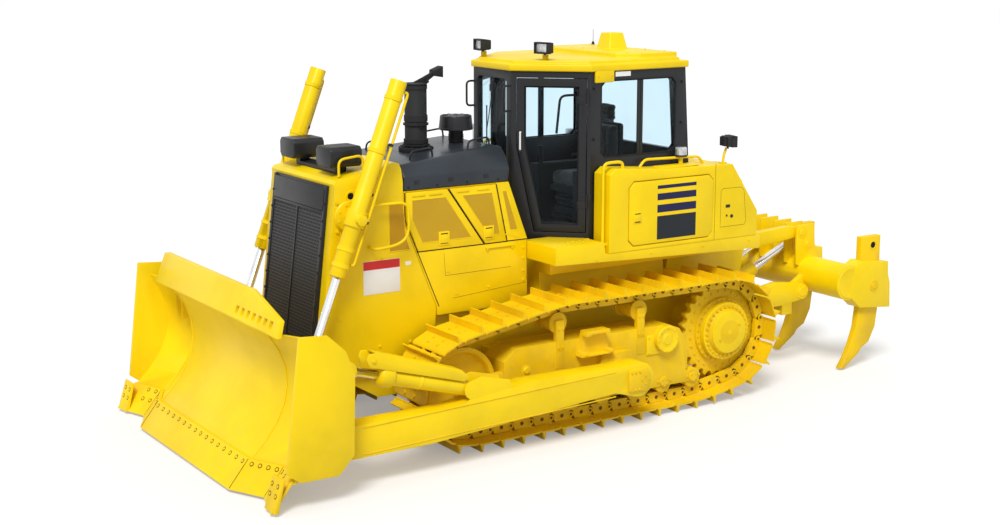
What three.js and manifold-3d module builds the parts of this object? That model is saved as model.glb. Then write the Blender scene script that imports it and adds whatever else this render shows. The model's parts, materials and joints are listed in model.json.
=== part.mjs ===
// Bulldozer of the 28 tonne class: folded blade, low wide tracks, hexagonal cab and
// three-shank ripper. Millimetres, +Z up, the machine faces -Y and its left side is +X.
// Inside the machine, Y is counted backwards from the front-most track shoe on the ground.
import * as THREE from "three";
import { mergeVertices } from "three/addons/utils/BufferGeometryUtils.js";
import Module from "manifold-3d";

const wasm = await Module();
wasm.setup();

// ---- driving dimensions ----------------------------------------------------------------
const GAP = 0.3;                    // seam between pieces that touch
const SWING_GAP = 12;               // free space round pieces that move

const GAUGE = 2000;                 // between track centre lines
const SHOE_WIDTH = 560;
const SHOE_PITCH = 228.6;
const GROUSER = 65;
const PLATE_RISE = 70;              // chain pin line to the outside of a shoe plate
const PLATE_THICK = 18;
const LINK_DEPTH = 55;              // chain pin line to the inside edge of a link
const LINK_GAP = 120;               // between the two rails of links
const LINK_WIDTH = 46;

const IDLER = { y: -20, r: 440 };                   // pin line radius round the idler
const SPROCKET = { y: 3060, z: 700, r: 491 };       // pin line radius round the sprocket
const CARRIERS = [{ y: 1000, r: 85 }, { y: 1950, r: 85 }];
const CARRIER_PIN_Z = 1193;         // pin line where it runs over the carrier rollers
const ROLLER_COUNT = 7;
const ROLLER_R = 100;
const ROLLER_FIRST = 420;
const ROLLER_LAST = 2620;

const FRAME_HALF = 170;             // half width of a track frame
const FRAME_LOW = 395;
const FRAME_TOP = 880;

const HULL_CLEAR = 160;             // between the hull and the inside of a track
const HULL_HALF = GAUGE / 2 - SHOE_WIDTH / 2 - HULL_CLEAR;
const HULL_LOW = 450;
const HULL_TOP = 1160;
const HULL_FRONT = -1000;
const HULL_REAR = 3560;

const HOOD_HALF = 640;
const HOOD_WALL = 45;
const HOOD_TOP = 2340;
const DOOR_LOW = 1780;              // lower edge of the engine doors
const COVER_RISE = [230, 330];      // hood cover height at its front and rear
const GUARD_TOP = 2500;
const GUARD_FOOT = 780;
const GRILLE_HALF = HOOD_HALF - 106;
const GRILLE_THICK = 40;

const CAB_FLOOR = 1760;
const CAB_TOP = 3340;
const CAB_WALL = 60;
const CAB_FRONT = { x: 330, y: 1000 };
const CAB_PILLAR = { x: 850, y: 1560 };
const CAB_REAR = 2700;
const CAB_REAR_SLOPE = 110;         // the rear wall's foot stands this far behind its top
const SILL_Z = 2520;                // sill of the side and rear windows
const GLASS_THICK = 8;
const ROOF_THICK = 95;

const CONSOLE_IN = 862;
const CONSOLE_OUT = 1120;
const CONSOLE_FRONT = 1600;
const CONSOLE_REAR = 3450;
const CONSOLE_LOW = 1640;
const CONSOLE_TOP = 2410;
const DECK_TOP = 1755;
const DECK_LOW = 1575;
const CONSOLE_DOOR = { front: 1830, rear: 2860, low: 1690, top: 2300, thick: 40 };

const ARM_CLEAR = 100;              // free space between a track and the arm beside it
const ARM_IN = GAUGE / 2 + SHOE_WIDTH / 2 + ARM_CLEAR;
const ARM_WIDTH = 200;
const ARM_PIVOT = { y: 1630, z: 515 };
const ARM_BALL = { y: -1500, z: 425 };              // ball joint at the front of each arm
const ARM_HEIGHT = 290;
const TILT_BASE = { y: -210, z: 700 };
const TILT_EYE = { y: -1425, z: 1045 };
const TILT_BORE = 150;
const TILT_ROD = 80;

const BLADE_REACH = 210;            // the blade passes the arms by this much on each side
const BLADE_HALF = ARM_IN + ARM_WIDTH + BLADE_REACH;
const BLADE_FOLD = 1030;            // half width of the proud centre section
const BLADE_NOTCH = ARM_IN - 6;     // where the side sections turn forwards again
const BLADE_PLAN = { centre: -2095, notch: -1930, end: -2055 };
const BLADE_LOW = 240;
const BLADE_TOP = 1330;
const GUARD_RISE = 270;             // spill guard above the mouldboard
const BLADE_CURVE = 330;            // depth of the mouldboard's hollow
const BLADE_THICK = 40;
const BEAM_BACK = -1655;             // rear faces of the beams behind the mouldboard
const TILT_AXIS_Z = 700;            // height of the line the blade rolls about
const EDGE_LOW = 29;
const EDGE_REACH = 170;             // the cutting edge leans this far forwards
const EDGE_THICK = 32;

const LIFT_X = HOOD_HALF + 140;
const LIFT_TRUNNION = { y: -916, z: 2170 };
const LIFT_EYE = { y: -1540, z: 540 };
const LIFT_TOP = 1262;              // barrel end above the trunnion
const LIFT_FOOT = 530;              // barrel end below the trunnion
const LIFT_BARREL = 152;
const LIFT_ROD = 76;

const RIPPER_ARM_BASE = { y: 3640, z: 800 };
const RIPPER_ARM_TIP = { y: 4540, z: 840 };
const RIPPER_LINK_BASE = { y: 3800, z: 1400 };
const RIPPER_CYL_BASE = { y: 3750, z: 800 };
const RIPPER_ROD_EYE = { y: 4790, z: 1300 };
const RIPPER_BEAM = { y: 4830, z: 975, r: 190, half: 1085 };
const RIPPER_ARM_X = HULL_HALF + 60;
const RIPPER_TOWER_X = 375;         // upper links
const RIPPER_CYL_X = 195;           // cylinders, between the links
const RIPPER_BORE = 148;
const RIPPER_ROD = 85;
const SHANK_X = [-1000, 0, 1000];
const SHANK_WIDTH = 76;

// ---- materials ---------------------------------------------------------------------------
const paint = (color, roughness, metalness = 0) =>
  new THREE.MeshStandardMaterial({ color, roughness, metalness });
const YELLOW = paint(0xf5c800, 0.35);
const OCHRE = paint(0xc98f12, 0.55);
const BLACK = paint(0x16181b, 0.5);
const NAVY_BLACK = paint(0x1b2026, 0.4);
const GLASS = paint(0x9fd0e0, 0.05);
const CHROME = paint(0xd8dadd, 0.12, 1);
const IRON = paint(0x4a4640, 0.6, 0.4);
const SEAT = paint(0x1c1c1e, 0.85);

// ---- shape helpers -------------------------------------------------------------------------
const TURN = { x: new THREE.Matrix4().makeBasis(
  new THREE.Vector3(0, 1, 0), new THREE.Vector3(0, 0, 1), new THREE.Vector3(1, 0, 0)),
y: new THREE.Matrix4().makeBasis(
  new THREE.Vector3(1, 0, 0), new THREE.Vector3(0, 0, 1), new THREE.Vector3(0, -1, 0)) };

/** A closed geometry as a manifold solid. */
function solid(geometry) {
  const bare = geometry.index ? geometry.toNonIndexed() : geometry.clone();
  for (const name of Object.keys(bare.attributes)) {
    if (name !== "position") bare.deleteAttribute(name);
  }
  const merged = mergeVertices(bare, 1e-3);
  const mesh = new wasm.Mesh({
    numProp: 3,
    vertProperties: new Float32Array(merged.attributes.position.array),
    triVerts: new Uint32Array(merged.index.array),
  });
  mesh.merge();
  return new wasm.Manifold(mesh);
}

/** The geometry of a manifold solid. */
function geometryOf(body) {
  const mesh = body.getMesh();
  const geometry = new THREE.BufferGeometry();
  geometry.setAttribute("position", new THREE.BufferAttribute(mesh.vertProperties.slice(), 3));
  geometry.setIndex(new THREE.BufferAttribute(mesh.triVerts.slice(), 1));
  return geometry;
}

/** All solids of a list joined. */
function join(...parts) {
  return parts.flat().reduce((sum, part) => sum.add(part));
}

/** The first solid with all the others cut out of it. */
function cut(body, ...tools) {
  return tools.flat().reduce((rest, tool) => rest.subtract(tool), body);
}

/** A block between two corners. */
function block(x0, x1, y0, y1, z0, z1) {
  const box = new THREE.BoxGeometry(x1 - x0, y1 - y0, z1 - z0);
  box.translate((x0 + x1) / 2, (y0 + y1) / 2, (z0 + z1) / 2);
  return solid(box);
}

function shapeOf(points) {
  return new THREE.Shape(points.map(([u, v]) => new THREE.Vector2(u, v)));
}

/** A side outline of [y, z] points, as thick as from x0 to x1. */
function sideplate(points, x0, x1) {
  const body = new THREE.ExtrudeGeometry(shapeOf(points), { depth: x1 - x0, bevelEnabled: false });
  body.applyMatrix4(TURN.x);
  body.translate(x0, 0, 0);
  return solid(body);
}

/** A front outline of [x, z] points, as thick as from y0 to y1. */
function frontplate(points, y0, y1) {
  const body = new THREE.ExtrudeGeometry(shapeOf(points), { depth: y1 - y0, bevelEnabled: false });
  body.applyMatrix4(TURN.y);
  body.translate(0, y1, 0);
  return solid(body);
}

/** A plan outline of [x, y] points, from z0 up to z1, with its points moved by warp. */
function planplate(points, z0, z1, warp = null) {
  const body = new THREE.ExtrudeGeometry(shapeOf(points), { depth: z1 - z0, bevelEnabled: false });
  body.translate(0, 0, z0);
  if (warp) warpPoints(body, warp);
  return solid(body);
}

/** Moves each vertex of a geometry in place. */
function warpPoints(geometry, warp) {
  const place = geometry.attributes.position;
  const point = new THREE.Vector3();
  for (let i = 0; i < place.count; i += 1) {
    point.fromBufferAttribute(place, i);
    warp(point);
    place.setXYZ(i, point.x, point.y, point.z);
  }
}

/** A cylinder along X, from x0 to x1. */
function axle(x0, x1, y, z, r, sides = 24) {
  const body = new THREE.CylinderGeometry(r, r, x1 - x0, sides);
  body.rotateZ(Math.PI / 2);
  body.translate((x0 + x1) / 2, y, z);
  return solid(body);
}

/** A cylinder or cone along Z, from z0 to z1. */
function post(x, y, z0, z1, r, rTop = r, sides = 24) {
  const body = new THREE.CylinderGeometry(rTop, r, z1 - z0, sides);
  body.rotateX(Math.PI / 2);
  body.translate(x, y, (z0 + z1) / 2);
  return solid(body);
}

/** A solid turned about the X axis: its profile holds [radius, x] points. */
function wheel(profile, y, z, sides = 30) {
  const points = profile.map(([r, x]) => new THREE.Vector2(r, x));
  const body = new THREE.LatheGeometry(points, sides);
  body.rotateZ(-Math.PI / 2);
  body.translate(0, y, z);
  return upright(solid(body), body);
}

/** A lathe body's solid, with its faces turned outwards. */
function upright(body, geometry) {
  if (body.volume() > 0) return body;
  const flipped = geometry.index ? geometry.toNonIndexed() : geometry.clone();
  const place = flipped.attributes.position.array;
  for (let i = 0; i < place.length; i += 9) {
    for (let k = 0; k < 3; k += 1) {
      [place[i + 3 + k], place[i + 6 + k]] = [place[i + 6 + k], place[i + 3 + k]];
    }
  }
  return solid(flipped);
}

/** A bar of round section between two points. */
function bar(from, to, r, sides = 12) {
  const start = new THREE.Vector3(...from);
  const reach = new THREE.Vector3(...to).sub(start);
  const body = new THREE.CylinderGeometry(r, r, reach.length(), sides);
  body.translate(0, reach.length() / 2, 0);
  body.applyQuaternion(new THREE.Quaternion().setFromUnitVectors(
    new THREE.Vector3(0, 1, 0), reach.normalize()));
  body.translate(start.x, start.y, start.z);
  return solid(body);
}

/** The mirror image of a solid on the machine's other side. */
function mirrored(body) {
  return body.mirror([1, 0, 0]);
}

/** Points on an arc in a side view, from one angle to another in degrees. */
function arc(y, z, r, from, to, steps) {
  return Array.from({ length: steps + 1 }, (_, i) => {
    const angle = THREE.MathUtils.degToRad(from + (to - from) * i / steps);
    return [y + r * Math.cos(angle), z + r * Math.sin(angle)];
  });
}

// ---- the scene graph ------------------------------------------------------------------------
const machine = new THREE.Group();
machine.name = "machine";

/** A group whose origin is a pivot, given in the machine's frame. */
function pivot(name, parent, x, y, z) {
  const group = new THREE.Group();
  group.name = name;
  group.userData.at = new THREE.Vector3(x, y, z);
  group.position.copy(group.userData.at);
  if (parent.userData.at) group.position.sub(parent.userData.at);
  parent.add(group);
  return group;
}

/** Adds a sub-part, whose shape is given in the machine's frame, to its group. */
function place(group, name, body, material) {
  const mesh = new THREE.Mesh(body.isBufferGeometry ? body : geometryOf(body), material);
  mesh.name = name;
  if (group.userData.at) mesh.position.copy(group.userData.at).negate();
  group.add(mesh);
}

/** Left and right copies of a sub-part that is drawn on the left. */
function placePair(group, name, body, material) {
  place(group, `${name}_left`, body, material);
  place(group, `${name}_right`, mirrored(body), material);
}

// ---- tracks ---------------------------------------------------------------------------------
const PIN_LOW = GROUSER + PLATE_RISE;               // pin line along the ground
const IDLER_Z = PIN_LOW + IDLER.r;
const ROLLER_Z = PIN_LOW + LINK_DEPTH + ROLLER_R + GAP;
const TRACK_X = GAUGE / 2;

/** The pin line round its wheels, as evenly spaced pins, counted from below the idler. */
function chainPins() {
  const wheels = [
    { y: IDLER.y, z: IDLER_Z, r: IDLER.r },
    { y: ROLLER_LAST, z: ROLLER_Z - GAP, r: ROLLER_R + LINK_DEPTH },
    SPROCKET,
    ...[...CARRIERS].reverse().map(({ y, r }) => (
      { y, z: CARRIER_PIN_Z - LINK_DEPTH - r, r: r + LINK_DEPTH })),
  ];
  const heading = wheels.map((wheel, i) => {
    const next = wheels[(i + 1) % wheels.length];
    const dy = next.y - wheel.y;
    const dz = next.z - wheel.z;
    return Math.atan2(dz, dy) - Math.PI / 2 + Math.asin((wheel.r - next.r) / Math.hypot(dy, dz));
  });
  const line = [];
  wheels.forEach(({ y, z, r }, i) => {
    const start = heading[(i + wheels.length - 1) % wheels.length];
    const sweep = THREE.MathUtils.euclideanModulo(heading[i] - start, 2 * Math.PI);
    const steps = Math.max(1, Math.ceil(sweep / 0.05));
    for (let k = 0; k <= steps; k += 1) {
      const angle = start + (sweep < Math.PI * 1.5 ? sweep * k / steps : 0);
      line.push(new THREE.Vector2(y + r * Math.cos(angle), z + r * Math.sin(angle)));
    }
  });
  line.push(line[0].clone());
  const reach = [0];
  for (let i = 1; i < line.length; i += 1) {
    reach.push(reach[i - 1] + line[i].distanceTo(line[i - 1]));
  }
  const total = reach[reach.length - 1];
  const count = Math.round(total / SHOE_PITCH);
  return Array.from({ length: count }, (_, i) => {
    const along = total * i / count;
    const k = Math.max(1, reach.findIndex((value) => value >= along));
    const share = (along - reach[k - 1]) / Math.max(reach[k] - reach[k - 1], 1e-9);
    return line[k - 1].clone().lerp(line[k], share);
  });
}

/** The chain line moved outwards by a distance, one point at each pin. */
function chainOffset(pins, rise) {
  return pins.map((pin, i) => {
    const before = pins[(i + pins.length - 1) % pins.length];
    const after = pins[(i + 1) % pins.length];
    const ahead = after.clone().sub(before).normalize();
    return [pin.x + rise * ahead.y, pin.y - rise * ahead.x];
  });
}

/** A closed belt between two outlines, as wide as from x0 to x1. */
function belt(outer, inner, x0, x1) {
  return cut(sideplate(outer, x0, x1), sideplate(inner, x0 - 5, x1 + 5));
}

/** The outside of the shoes: each plate with its grouser bar. */
function shoeOutline(pins) {
  const outline = [];
  pins.forEach((pin, i) => {
    const next = pins[(i + 1) % pins.length];
    const ahead = next.clone().sub(pin);
    const span = ahead.length();
    ahead.normalize();
    const point = (share, rise) => [
      pin.x + ahead.x * share * span + rise * ahead.y,
      pin.y + ahead.y * share * span - rise * ahead.x];
    const [root, tip] = [PLATE_RISE, PLATE_RISE + GROUSER];
    outline.push(point(0.04, root), point(0.1, root), point(0.12, tip), point(0.19, tip),
      point(0.23, root));
  });
  return outline;
}

function trackLoop() {
  const pins = chainPins();
  const under = PLATE_RISE - PLATE_THICK;
  const plates = belt(shoeOutline(pins), chainOffset(pins, under),
    TRACK_X - SHOE_WIDTH / 2, TRACK_X + SHOE_WIDTH / 2);
  return join(plates, chainRails(pins, 0));
}

/** The two rails of links that the rollers run on, grown by a margin. */
function chainRails(pins, margin) {
  return [-1, 1].map((side) => {
    const near = TRACK_X + side * (LINK_GAP / 2 - margin);
    const far = TRACK_X + side * (LINK_GAP / 2 + LINK_WIDTH + margin);
    return belt(chainOffset(pins, PLATE_RISE - PLATE_THICK + 2),
      chainOffset(pins, -LINK_DEPTH - margin), Math.min(near, far), Math.max(near, far));
  });
}

// The chain cuts the corner between two pins, so a wheel inside it is a little smaller.
const insideChain = (pinRadius) =>
  (pinRadius - LINK_DEPTH) * Math.cos(Math.asin(SHOE_PITCH / 2 / pinRadius)) - 2;

function idlerWheel() {
  const rim = insideChain(IDLER.r);
  const half = 75;
  return wheel([[0, TRACK_X - half], [95, TRACK_X - half], [95, TRACK_X - 40],
    [rim - 70, TRACK_X - 22], [rim - 45, TRACK_X - half + 5], [rim, TRACK_X - half + 5],
    [rim, TRACK_X + half - 5], [rim - 45, TRACK_X + half - 5], [rim - 70, TRACK_X + 22],
    [95, TRACK_X + 40], [95, TRACK_X + half], [0, TRACK_X + half]], IDLER.y, IDLER_Z);
}

/** The toothed ring with the final drive's hub on its outer side. */
function sprocketWheel() {
  const teeth = 27;
  const step = 360 / teeth;
  const ring = [];
  for (let i = 0; i < teeth; i += 1) {
    ring.push(...arc(SPROCKET.y, SPROCKET.z, SPROCKET.r - 52, i * step, i * step + 0.3 * step, 1));
    ring.push(...arc(SPROCKET.y, SPROCKET.z, SPROCKET.r - 6, (i + 0.55) * step,
      (i + 0.75) * step, 1));
  }
  const half = LINK_GAP / 2 - 22;
  const hub = wheel([[0, TRACK_X], [330, TRACK_X], [330, TRACK_X + 75], [290, TRACK_X + 75],
    [285, TRACK_X + 120], [240, TRACK_X + 140], [225, TRACK_X + 175], [120, TRACK_X + 200],
    [0, TRACK_X + 205]], SPROCKET.y, SPROCKET.z);
  return join(sideplate(ring, TRACK_X - half, TRACK_X + half), hub);
}

/** A track frame: box, idler yokes, rollers, carrier rollers, step, cover and arm pin. */
function trackFrame() {
  const [x0, x1] = [TRACK_X - FRAME_HALF, TRACK_X + FRAME_HALF];
  const rim = insideChain(IDLER.r);
  const noseY = IDLER.y + rim + 30;
  const tailY = SPROCKET.y - SPROCKET.r - 25;
  const box = sideplate([[noseY, FRAME_LOW + 40], [noseY + 50, FRAME_LOW], [tailY, FRAME_LOW],
    [tailY, 640], [tailY - 110, FRAME_TOP - 60], [tailY - 260, FRAME_TOP],
    [noseY + 130, FRAME_TOP], [noseY, FRAME_TOP - 110]], x0, x1);
  const yokes = [-1, 1].map((side) => {
    const near = TRACK_X + side * (75 + GAP);
    const far = TRACK_X + side * (FRAME_HALF - 20);
    return sideplate([[IDLER.y - 90, IDLER_Z - 60], [noseY + 5, IDLER_Z - 95],
      [noseY + 5, IDLER_Z + 95], [IDLER.y - 90, IDLER_Z + 60]],
    Math.min(near, far), Math.max(near, far));
  });
  const rollerStep = (ROLLER_LAST - ROLLER_FIRST) / (ROLLER_COUNT - 1);
  const rollers = Array.from({ length: ROLLER_COUNT }, (_, i) =>
    axle(x0 + 15, x1 - 15, ROLLER_FIRST + i * rollerStep, ROLLER_Z, ROLLER_R, 16));
  const guards = [x0, x1 - 20].map((x) =>
    sideplate([[noseY, 260], [tailY + 60, 260], [tailY + 60, 330], [tailY - 40, FRAME_LOW + 10],
      [noseY, FRAME_LOW + 60]], x, x + 20));
  const carriers = CARRIERS.map(({ y, r }) => {
    const z = CARRIER_PIN_Z - LINK_DEPTH - r - GAP;
    return join(axle(x0 + 30, x1 - 30, y, z, r, 16),
      block(x1 - 40, x1 + 5, y - 45, y + 45, FRAME_LOW + 230, z + 30));
  });
  const armPin = join(axle(x1 - 5, ARM_IN - 60, ARM_PIVOT.y, ARM_PIVOT.z, 120),
    sideplate([[ARM_PIVOT.y - 230, 400], [ARM_PIVOT.y + 230, 400], [ARM_PIVOT.y + 170, 700],
      [ARM_PIVOT.y - 170, 700]], x1 - 5, x1 + 60));
  const step = cut(
    sideplate([[1180, 720], [1560, 720], [1500, 960], [1240, 960]], x1 - 5, x1 + 110),
    block(x1 + 25, x1 + 120, 1150, 1600, 760, 915),
    sideplate([[1250, 730], [1490, 730], [1450, 930], [1290, 930]], x1 + 25, x1 + 120));
  const cover = axle(x1 - 5, x1 + 60, 2240, 745, 135, 24);
  const frame = join(box, yokes, rollers, guards, carriers, armPin, step, cover);
  return cut(frame, chainRails(chainPins(), GAP));
}

function addUndercarriage() {
  placePair(machine, "track", trackLoop(), OCHRE);
  placePair(machine, "track_frame", trackFrame(), YELLOW);
  placePair(machine, "idler", idlerWheel(), OCHRE);
  placePair(machine, "sprocket", sprocketWheel(), OCHRE);
}

// ---- hull -----------------------------------------------------------------------------------
/** The main frame with final drives, pivot shaft, equalizer bar and ripper bracket. */
function hull() {
  const body = sideplate([[HULL_FRONT + 150, HULL_LOW + 150], [-600, HULL_LOW],
    [HULL_REAR - 260, HULL_LOW], [HULL_REAR, HULL_LOW + 200], [HULL_REAR, HULL_TOP],
    [HULL_FRONT + 150, HULL_TOP]], -HULL_HALF, HULL_HALF);
  const tower = sideplate([[2720, HULL_TOP - 5], [HULL_REAR, HULL_TOP - 5],
    [HULL_REAR, HULL_TOP + 300], [HULL_REAR - 120, HULL_TOP + 440], [2800, HULL_TOP + 440],
    [2720, HULL_TOP]], -(HOOD_HALF - 80), HOOD_HALF - 80);
  const inner = TRACK_X - FRAME_HALF;
  const half = LINK_GAP / 2 - 22;
  const drives = join(axle(-(TRACK_X - half - GAP), TRACK_X - half - GAP, SPROCKET.y,
    SPROCKET.z, 250, 32));
  const shaft = axle(-inner + GAP, inner - GAP, 2330, 620, 95);
  const equalizer = block(-inner + GAP, inner - GAP, 520, 660, 640, 780);
  const deckRails = block(-HULL_HALF - 180, HULL_HALF + 180, 1180, 3300, HULL_TOP + 260,
    DECK_LOW - GAP);
  const seat = block(-HULL_HALF, HULL_HALF, 1180, 2705, HULL_TOP - 5, DECK_LOW - GAP);
  return join(body, tower, drives, shaft, equalizer, deckRails, seat, ripperBracket());
}

/** Plates behind the hull that carry the ripper's arms, links and cylinders. */
function ripperBracket() {
  const rear = HULL_REAR - 5;
  const arm = RIPPER_ARM_BASE;
  const link = RIPPER_LINK_BASE;
  const plates = towerPlates([[rear, 640], [RIPPER_CYL_BASE.y + 40, 690],
    [RIPPER_CYL_BASE.y + 85, RIPPER_CYL_BASE.z], [RIPPER_CYL_BASE.y + 40, 930],
    [link.y + 50, link.z - 110], [link.y + 75, link.z], [link.y + 20, link.z + 80],
    [rear, HULL_TOP + 290]]);
  const lugs = armLugs([[rear, arm.z - 110], ...arc(arm.y, arm.z, 82, -90, 90, 6),
    [rear, arm.z + 110]]);
  return [...plates, ...lugs];
}

// ---- hood, guard and engine -----------------------------------------------------------------
const HOOD_FRONT = -350;                            // seam between guard and hood at the top
const HOOD_FRONT_FOOT = -13;                        // the same seam at the foot of the side panels
const HOOD_REAR = 750;                              // rear edge at the cab, at cover height
const HOOD_REAR_FOOT = 985;
const EXHAUST_TOP = 3230;
const REBATE = 10;                                  // depth the engine doors sit in the panels
const DOOR_SEAM = 12;                               // open seam round an engine door

/** The radiator guard's side outline: nose, sloping front, and the seam with the hood. */
function guardOutline() {
  return [[-1235, GUARD_FOOT], [-1200, GUARD_FOOT - 60], [-60, GUARD_FOOT - 60],
    [HOOD_FRONT_FOOT - 10, 1240], [HOOD_FRONT - 10, 2080], [HOOD_FRONT - 10, GUARD_TOP + 90],
    [-420, GUARD_TOP + 95], [-1020, GUARD_TOP - 10], [-1050, GUARD_TOP - 40],
    [-1040, GUARD_TOP - 70]];
}

function radiatorGuard() {
  const shell = sideplate(guardOutline(), -HOOD_HALF, HOOD_HALF);
  const corner = 90;
  const front = frontplate([[-HOOD_HALF, 600], [HOOD_HALF, 600],
    [HOOD_HALF, GUARD_TOP + 20 - corner], [HOOD_HALF - corner * 0.3, GUARD_TOP + 70 - corner * 0.3],
    [HOOD_HALF - corner, GUARD_TOP + 110], [-HOOD_HALF + corner, GUARD_TOP + 110],
    [-HOOD_HALF + corner * 0.3, GUARD_TOP + 70 - corner * 0.3],
    [-HOOD_HALF, GUARD_TOP + 20 - corner]], -1400, 100);
  const overHull = block(-HULL_HALF - GAP, HULL_HALF + GAP, HULL_FRONT + 140, 200,
    GUARD_FOOT - 100, HULL_TOP + GAP);
  const recess = grille(GAP);
  const yokes = [-1, 1].map((side) => {
    const near = side * (HOOD_HALF - 10);
    const far = side * (LIFT_X - LIFT_BARREL / 2 - 28);
    return axle(Math.min(near, far), Math.max(near, far), LIFT_TRUNNION.y, LIFT_TRUNNION.z, 130);
  });
  return join(cut(shell.intersect(front), overHull, recess), yokes);
}

/** The grille mask: a flat plate that leans with the guard's front. */
function grille(spare = 0) {
  const slope = (z) => -1042 - (GUARD_TOP - 64 - z) * 0.128;
  const [low, top] = [GUARD_FOOT + 60, GUARD_TOP - 66];
  return sideplate([[slope(low) - 12, low - spare], [slope(low) + GRILLE_THICK + spare, low - spare],
    [slope(top) + GRILLE_THICK + spare, top + spare], [slope(top) - 12, top + spare]],
  -GRILLE_HALF - spare, GRILLE_HALF + spare);
}

/** The seam line between guard and hood, and the rear edge, at a given height. */
function hoodFrontAt(z) {
  if (z > 2080) return HOOD_FRONT;
  return HOOD_FRONT + (2080 - z) / (2080 - 1240) * (HOOD_FRONT_FOOT - HOOD_FRONT);
}

function hoodRearAt(z) {
  return HOOD_REAR + (HOOD_TOP + 60 - z) / (HOOD_TOP + 60 - DOOR_LOW)
    * (HOOD_REAR_FOOT - HOOD_REAR);
}

const ENGINE_DOORS = [
  { name: "front", seam: (z) => hoodFrontAt(z) + 22, next: (z) => 92 + (2340 - z) * 0.71 },
  { name: "rear", seam: (z) => 116 + (2340 - z) * 0.71, next: (z) => 622 + (2340 - z) * 0.22 },
];

/** Outline of an engine door, or of its opening with a margin all round. */
function doorOutline(door, margin) {
  const [low, top] = [DOOR_LOW - margin, HOOD_TOP - 14 + margin];
  const knee = door.name === "front" ? [[door.seam(2080) - margin, 2080]] : [];
  return [[door.seam(low) - margin, low], [door.next(low) + margin, low],
    [door.next(top) + margin, top], [door.seam(top) - margin, top], ...knee];
}

/** Hood side panels round the engine bay, with the door openings and the firewall. */
function hoodFrame() {
  const foot = HULL_TOP + GAP;
  const outline = (wall) => [[hoodFrontAt(1240) + GAP + wall, 1240],
    [hoodFrontAt(1240) + GAP + wall, foot],
    [HOOD_REAR_FOOT - wall, foot], [HOOD_REAR_FOOT - wall, DOOR_LOW],
    [hoodRearAt(HOOD_TOP) - wall, HOOD_TOP], [hoodFrontAt(HOOD_TOP) + GAP + wall, HOOD_TOP],
    [hoodFrontAt(2080) + GAP + wall, 2080]];
  const skin = sideplate(outline(0), -HOOD_HALF, HOOD_HALF);
  const bay = sideplate(outline(HOOD_WALL), -HOOD_HALF + HOOD_WALL, HOOD_HALF - HOOD_WALL);
  const open = [
    block(-HOOD_HALF + HOOD_WALL, HOOD_HALF - HOOD_WALL, 120, HOOD_REAR_FOOT - HOOD_WALL,
      1000, 1300),
    block(-HOOD_HALF + HOOD_WALL, HOOD_HALF - HOOD_WALL, HOOD_FRONT + HOOD_WALL + 10,
      hoodRearAt(HOOD_TOP) - HOOD_WALL, HOOD_TOP - 200, HOOD_TOP + 100)];
  const doors = ENGINE_DOORS.flatMap((door) => {
    const rebate = sideplate(doorOutline(door, DOOR_SEAM), HOOD_HALF - REBATE, HOOD_HALF + 50);
    return [rebate, mirrored(rebate),
      sideplate(doorOutline(door, -22), -HOOD_HALF - 50, HOOD_HALF + 50)];
  });
  return cut(skin, bay, open, doors);
}

/** Black cover over the engine, higher towards the cab, with sloping shoulders. */
function hoodCover() {
  const shoulder = 110;
  const low = HOOD_TOP + GAP;
  const cover = sideplate([[HOOD_FRONT + GAP, low], [hoodRearAt(HOOD_TOP) + 5, low],
    [HOOD_REAR + 60, low + COVER_RISE[1] - 20], [HOOD_REAR - 40, low + COVER_RISE[1]],
    [HOOD_FRONT + GAP, low + COVER_RISE[0]]], -HOOD_HALF, HOOD_HALF);
  const top = low + COVER_RISE[1] + 20;
  const section = frontplate([[-HOOD_HALF, low - 20], [HOOD_HALF, low - 20],
    [HOOD_HALF, low + 125], [HOOD_HALF - shoulder, top - 90], [HOOD_HALF - shoulder - 120, top],
    [-HOOD_HALF + shoulder + 120, top], [-HOOD_HALF + shoulder, top - 90],
    [-HOOD_HALF, low + 125]], -800, 1100);
  return cover.intersect(section);
}

function engineDoor(door) {
  return sideplate(doorOutline(door, 0), HOOD_HALF - REBATE + GAP, HOOD_HALF + 6);
}

function addHood() {
  place(machine, "radiator_guard", radiatorGuard(), YELLOW);
  place(machine, "radiator_grille", grille(), BLACK);
  place(machine, "hood_frame", hoodFrame(), YELLOW);
  place(machine, "hood_cover", hoodCover(), NAVY_BLACK);
  place(machine, "engine_block", block(-330, 330, 60, 620, HULL_TOP + GAP, 2100), IRON);
  const low = HOOD_TOP + COVER_RISE[0];
  const flange = post(0, 150, low + 30, low + 75, 165, 165, 24);
  const coverRoom = hoodCover().translate([0, 0, GAP]);
  const pipe = join(cut(flange, coverRoom), post(0, 150, low + 74, EXHAUST_TOP, 105, 105, 24));
  place(machine, "exhaust_pipe", pipe, BLACK);
  const cleaner = join(post(0, 590, low + 60, 2800, 70), post(0, 590, 2780, 2915, 165, 150, 24));
  place(machine, "air_cleaner", cut(cleaner, coverRoom), BLACK);
  const flapPivot = pivot("exhaust_flap_pivot", machine, 0, 262, EXHAUST_TOP + 22);
  place(flapPivot, "exhaust_flap", exhaustFlap(), BLACK);
  for (const side of [1, -1]) {
    const name = side > 0 ? "left" : "right";
    for (const door of ENGINE_DOORS) {
      const hinge = pivot(`engine_door_${door.name}_${name}_pivot`, machine,
        side * (HOOD_HALF + 6), door.seam(HOOD_TOP), HOOD_TOP - 14);
      const leaf = engineDoor(door);
      place(hinge, `engine_door_${door.name}_${name}`, side > 0 ? leaf : mirrored(leaf), YELLOW);
    }
  }
  place(machine, "hood_lights", hoodLights(), BLACK);
}

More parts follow.
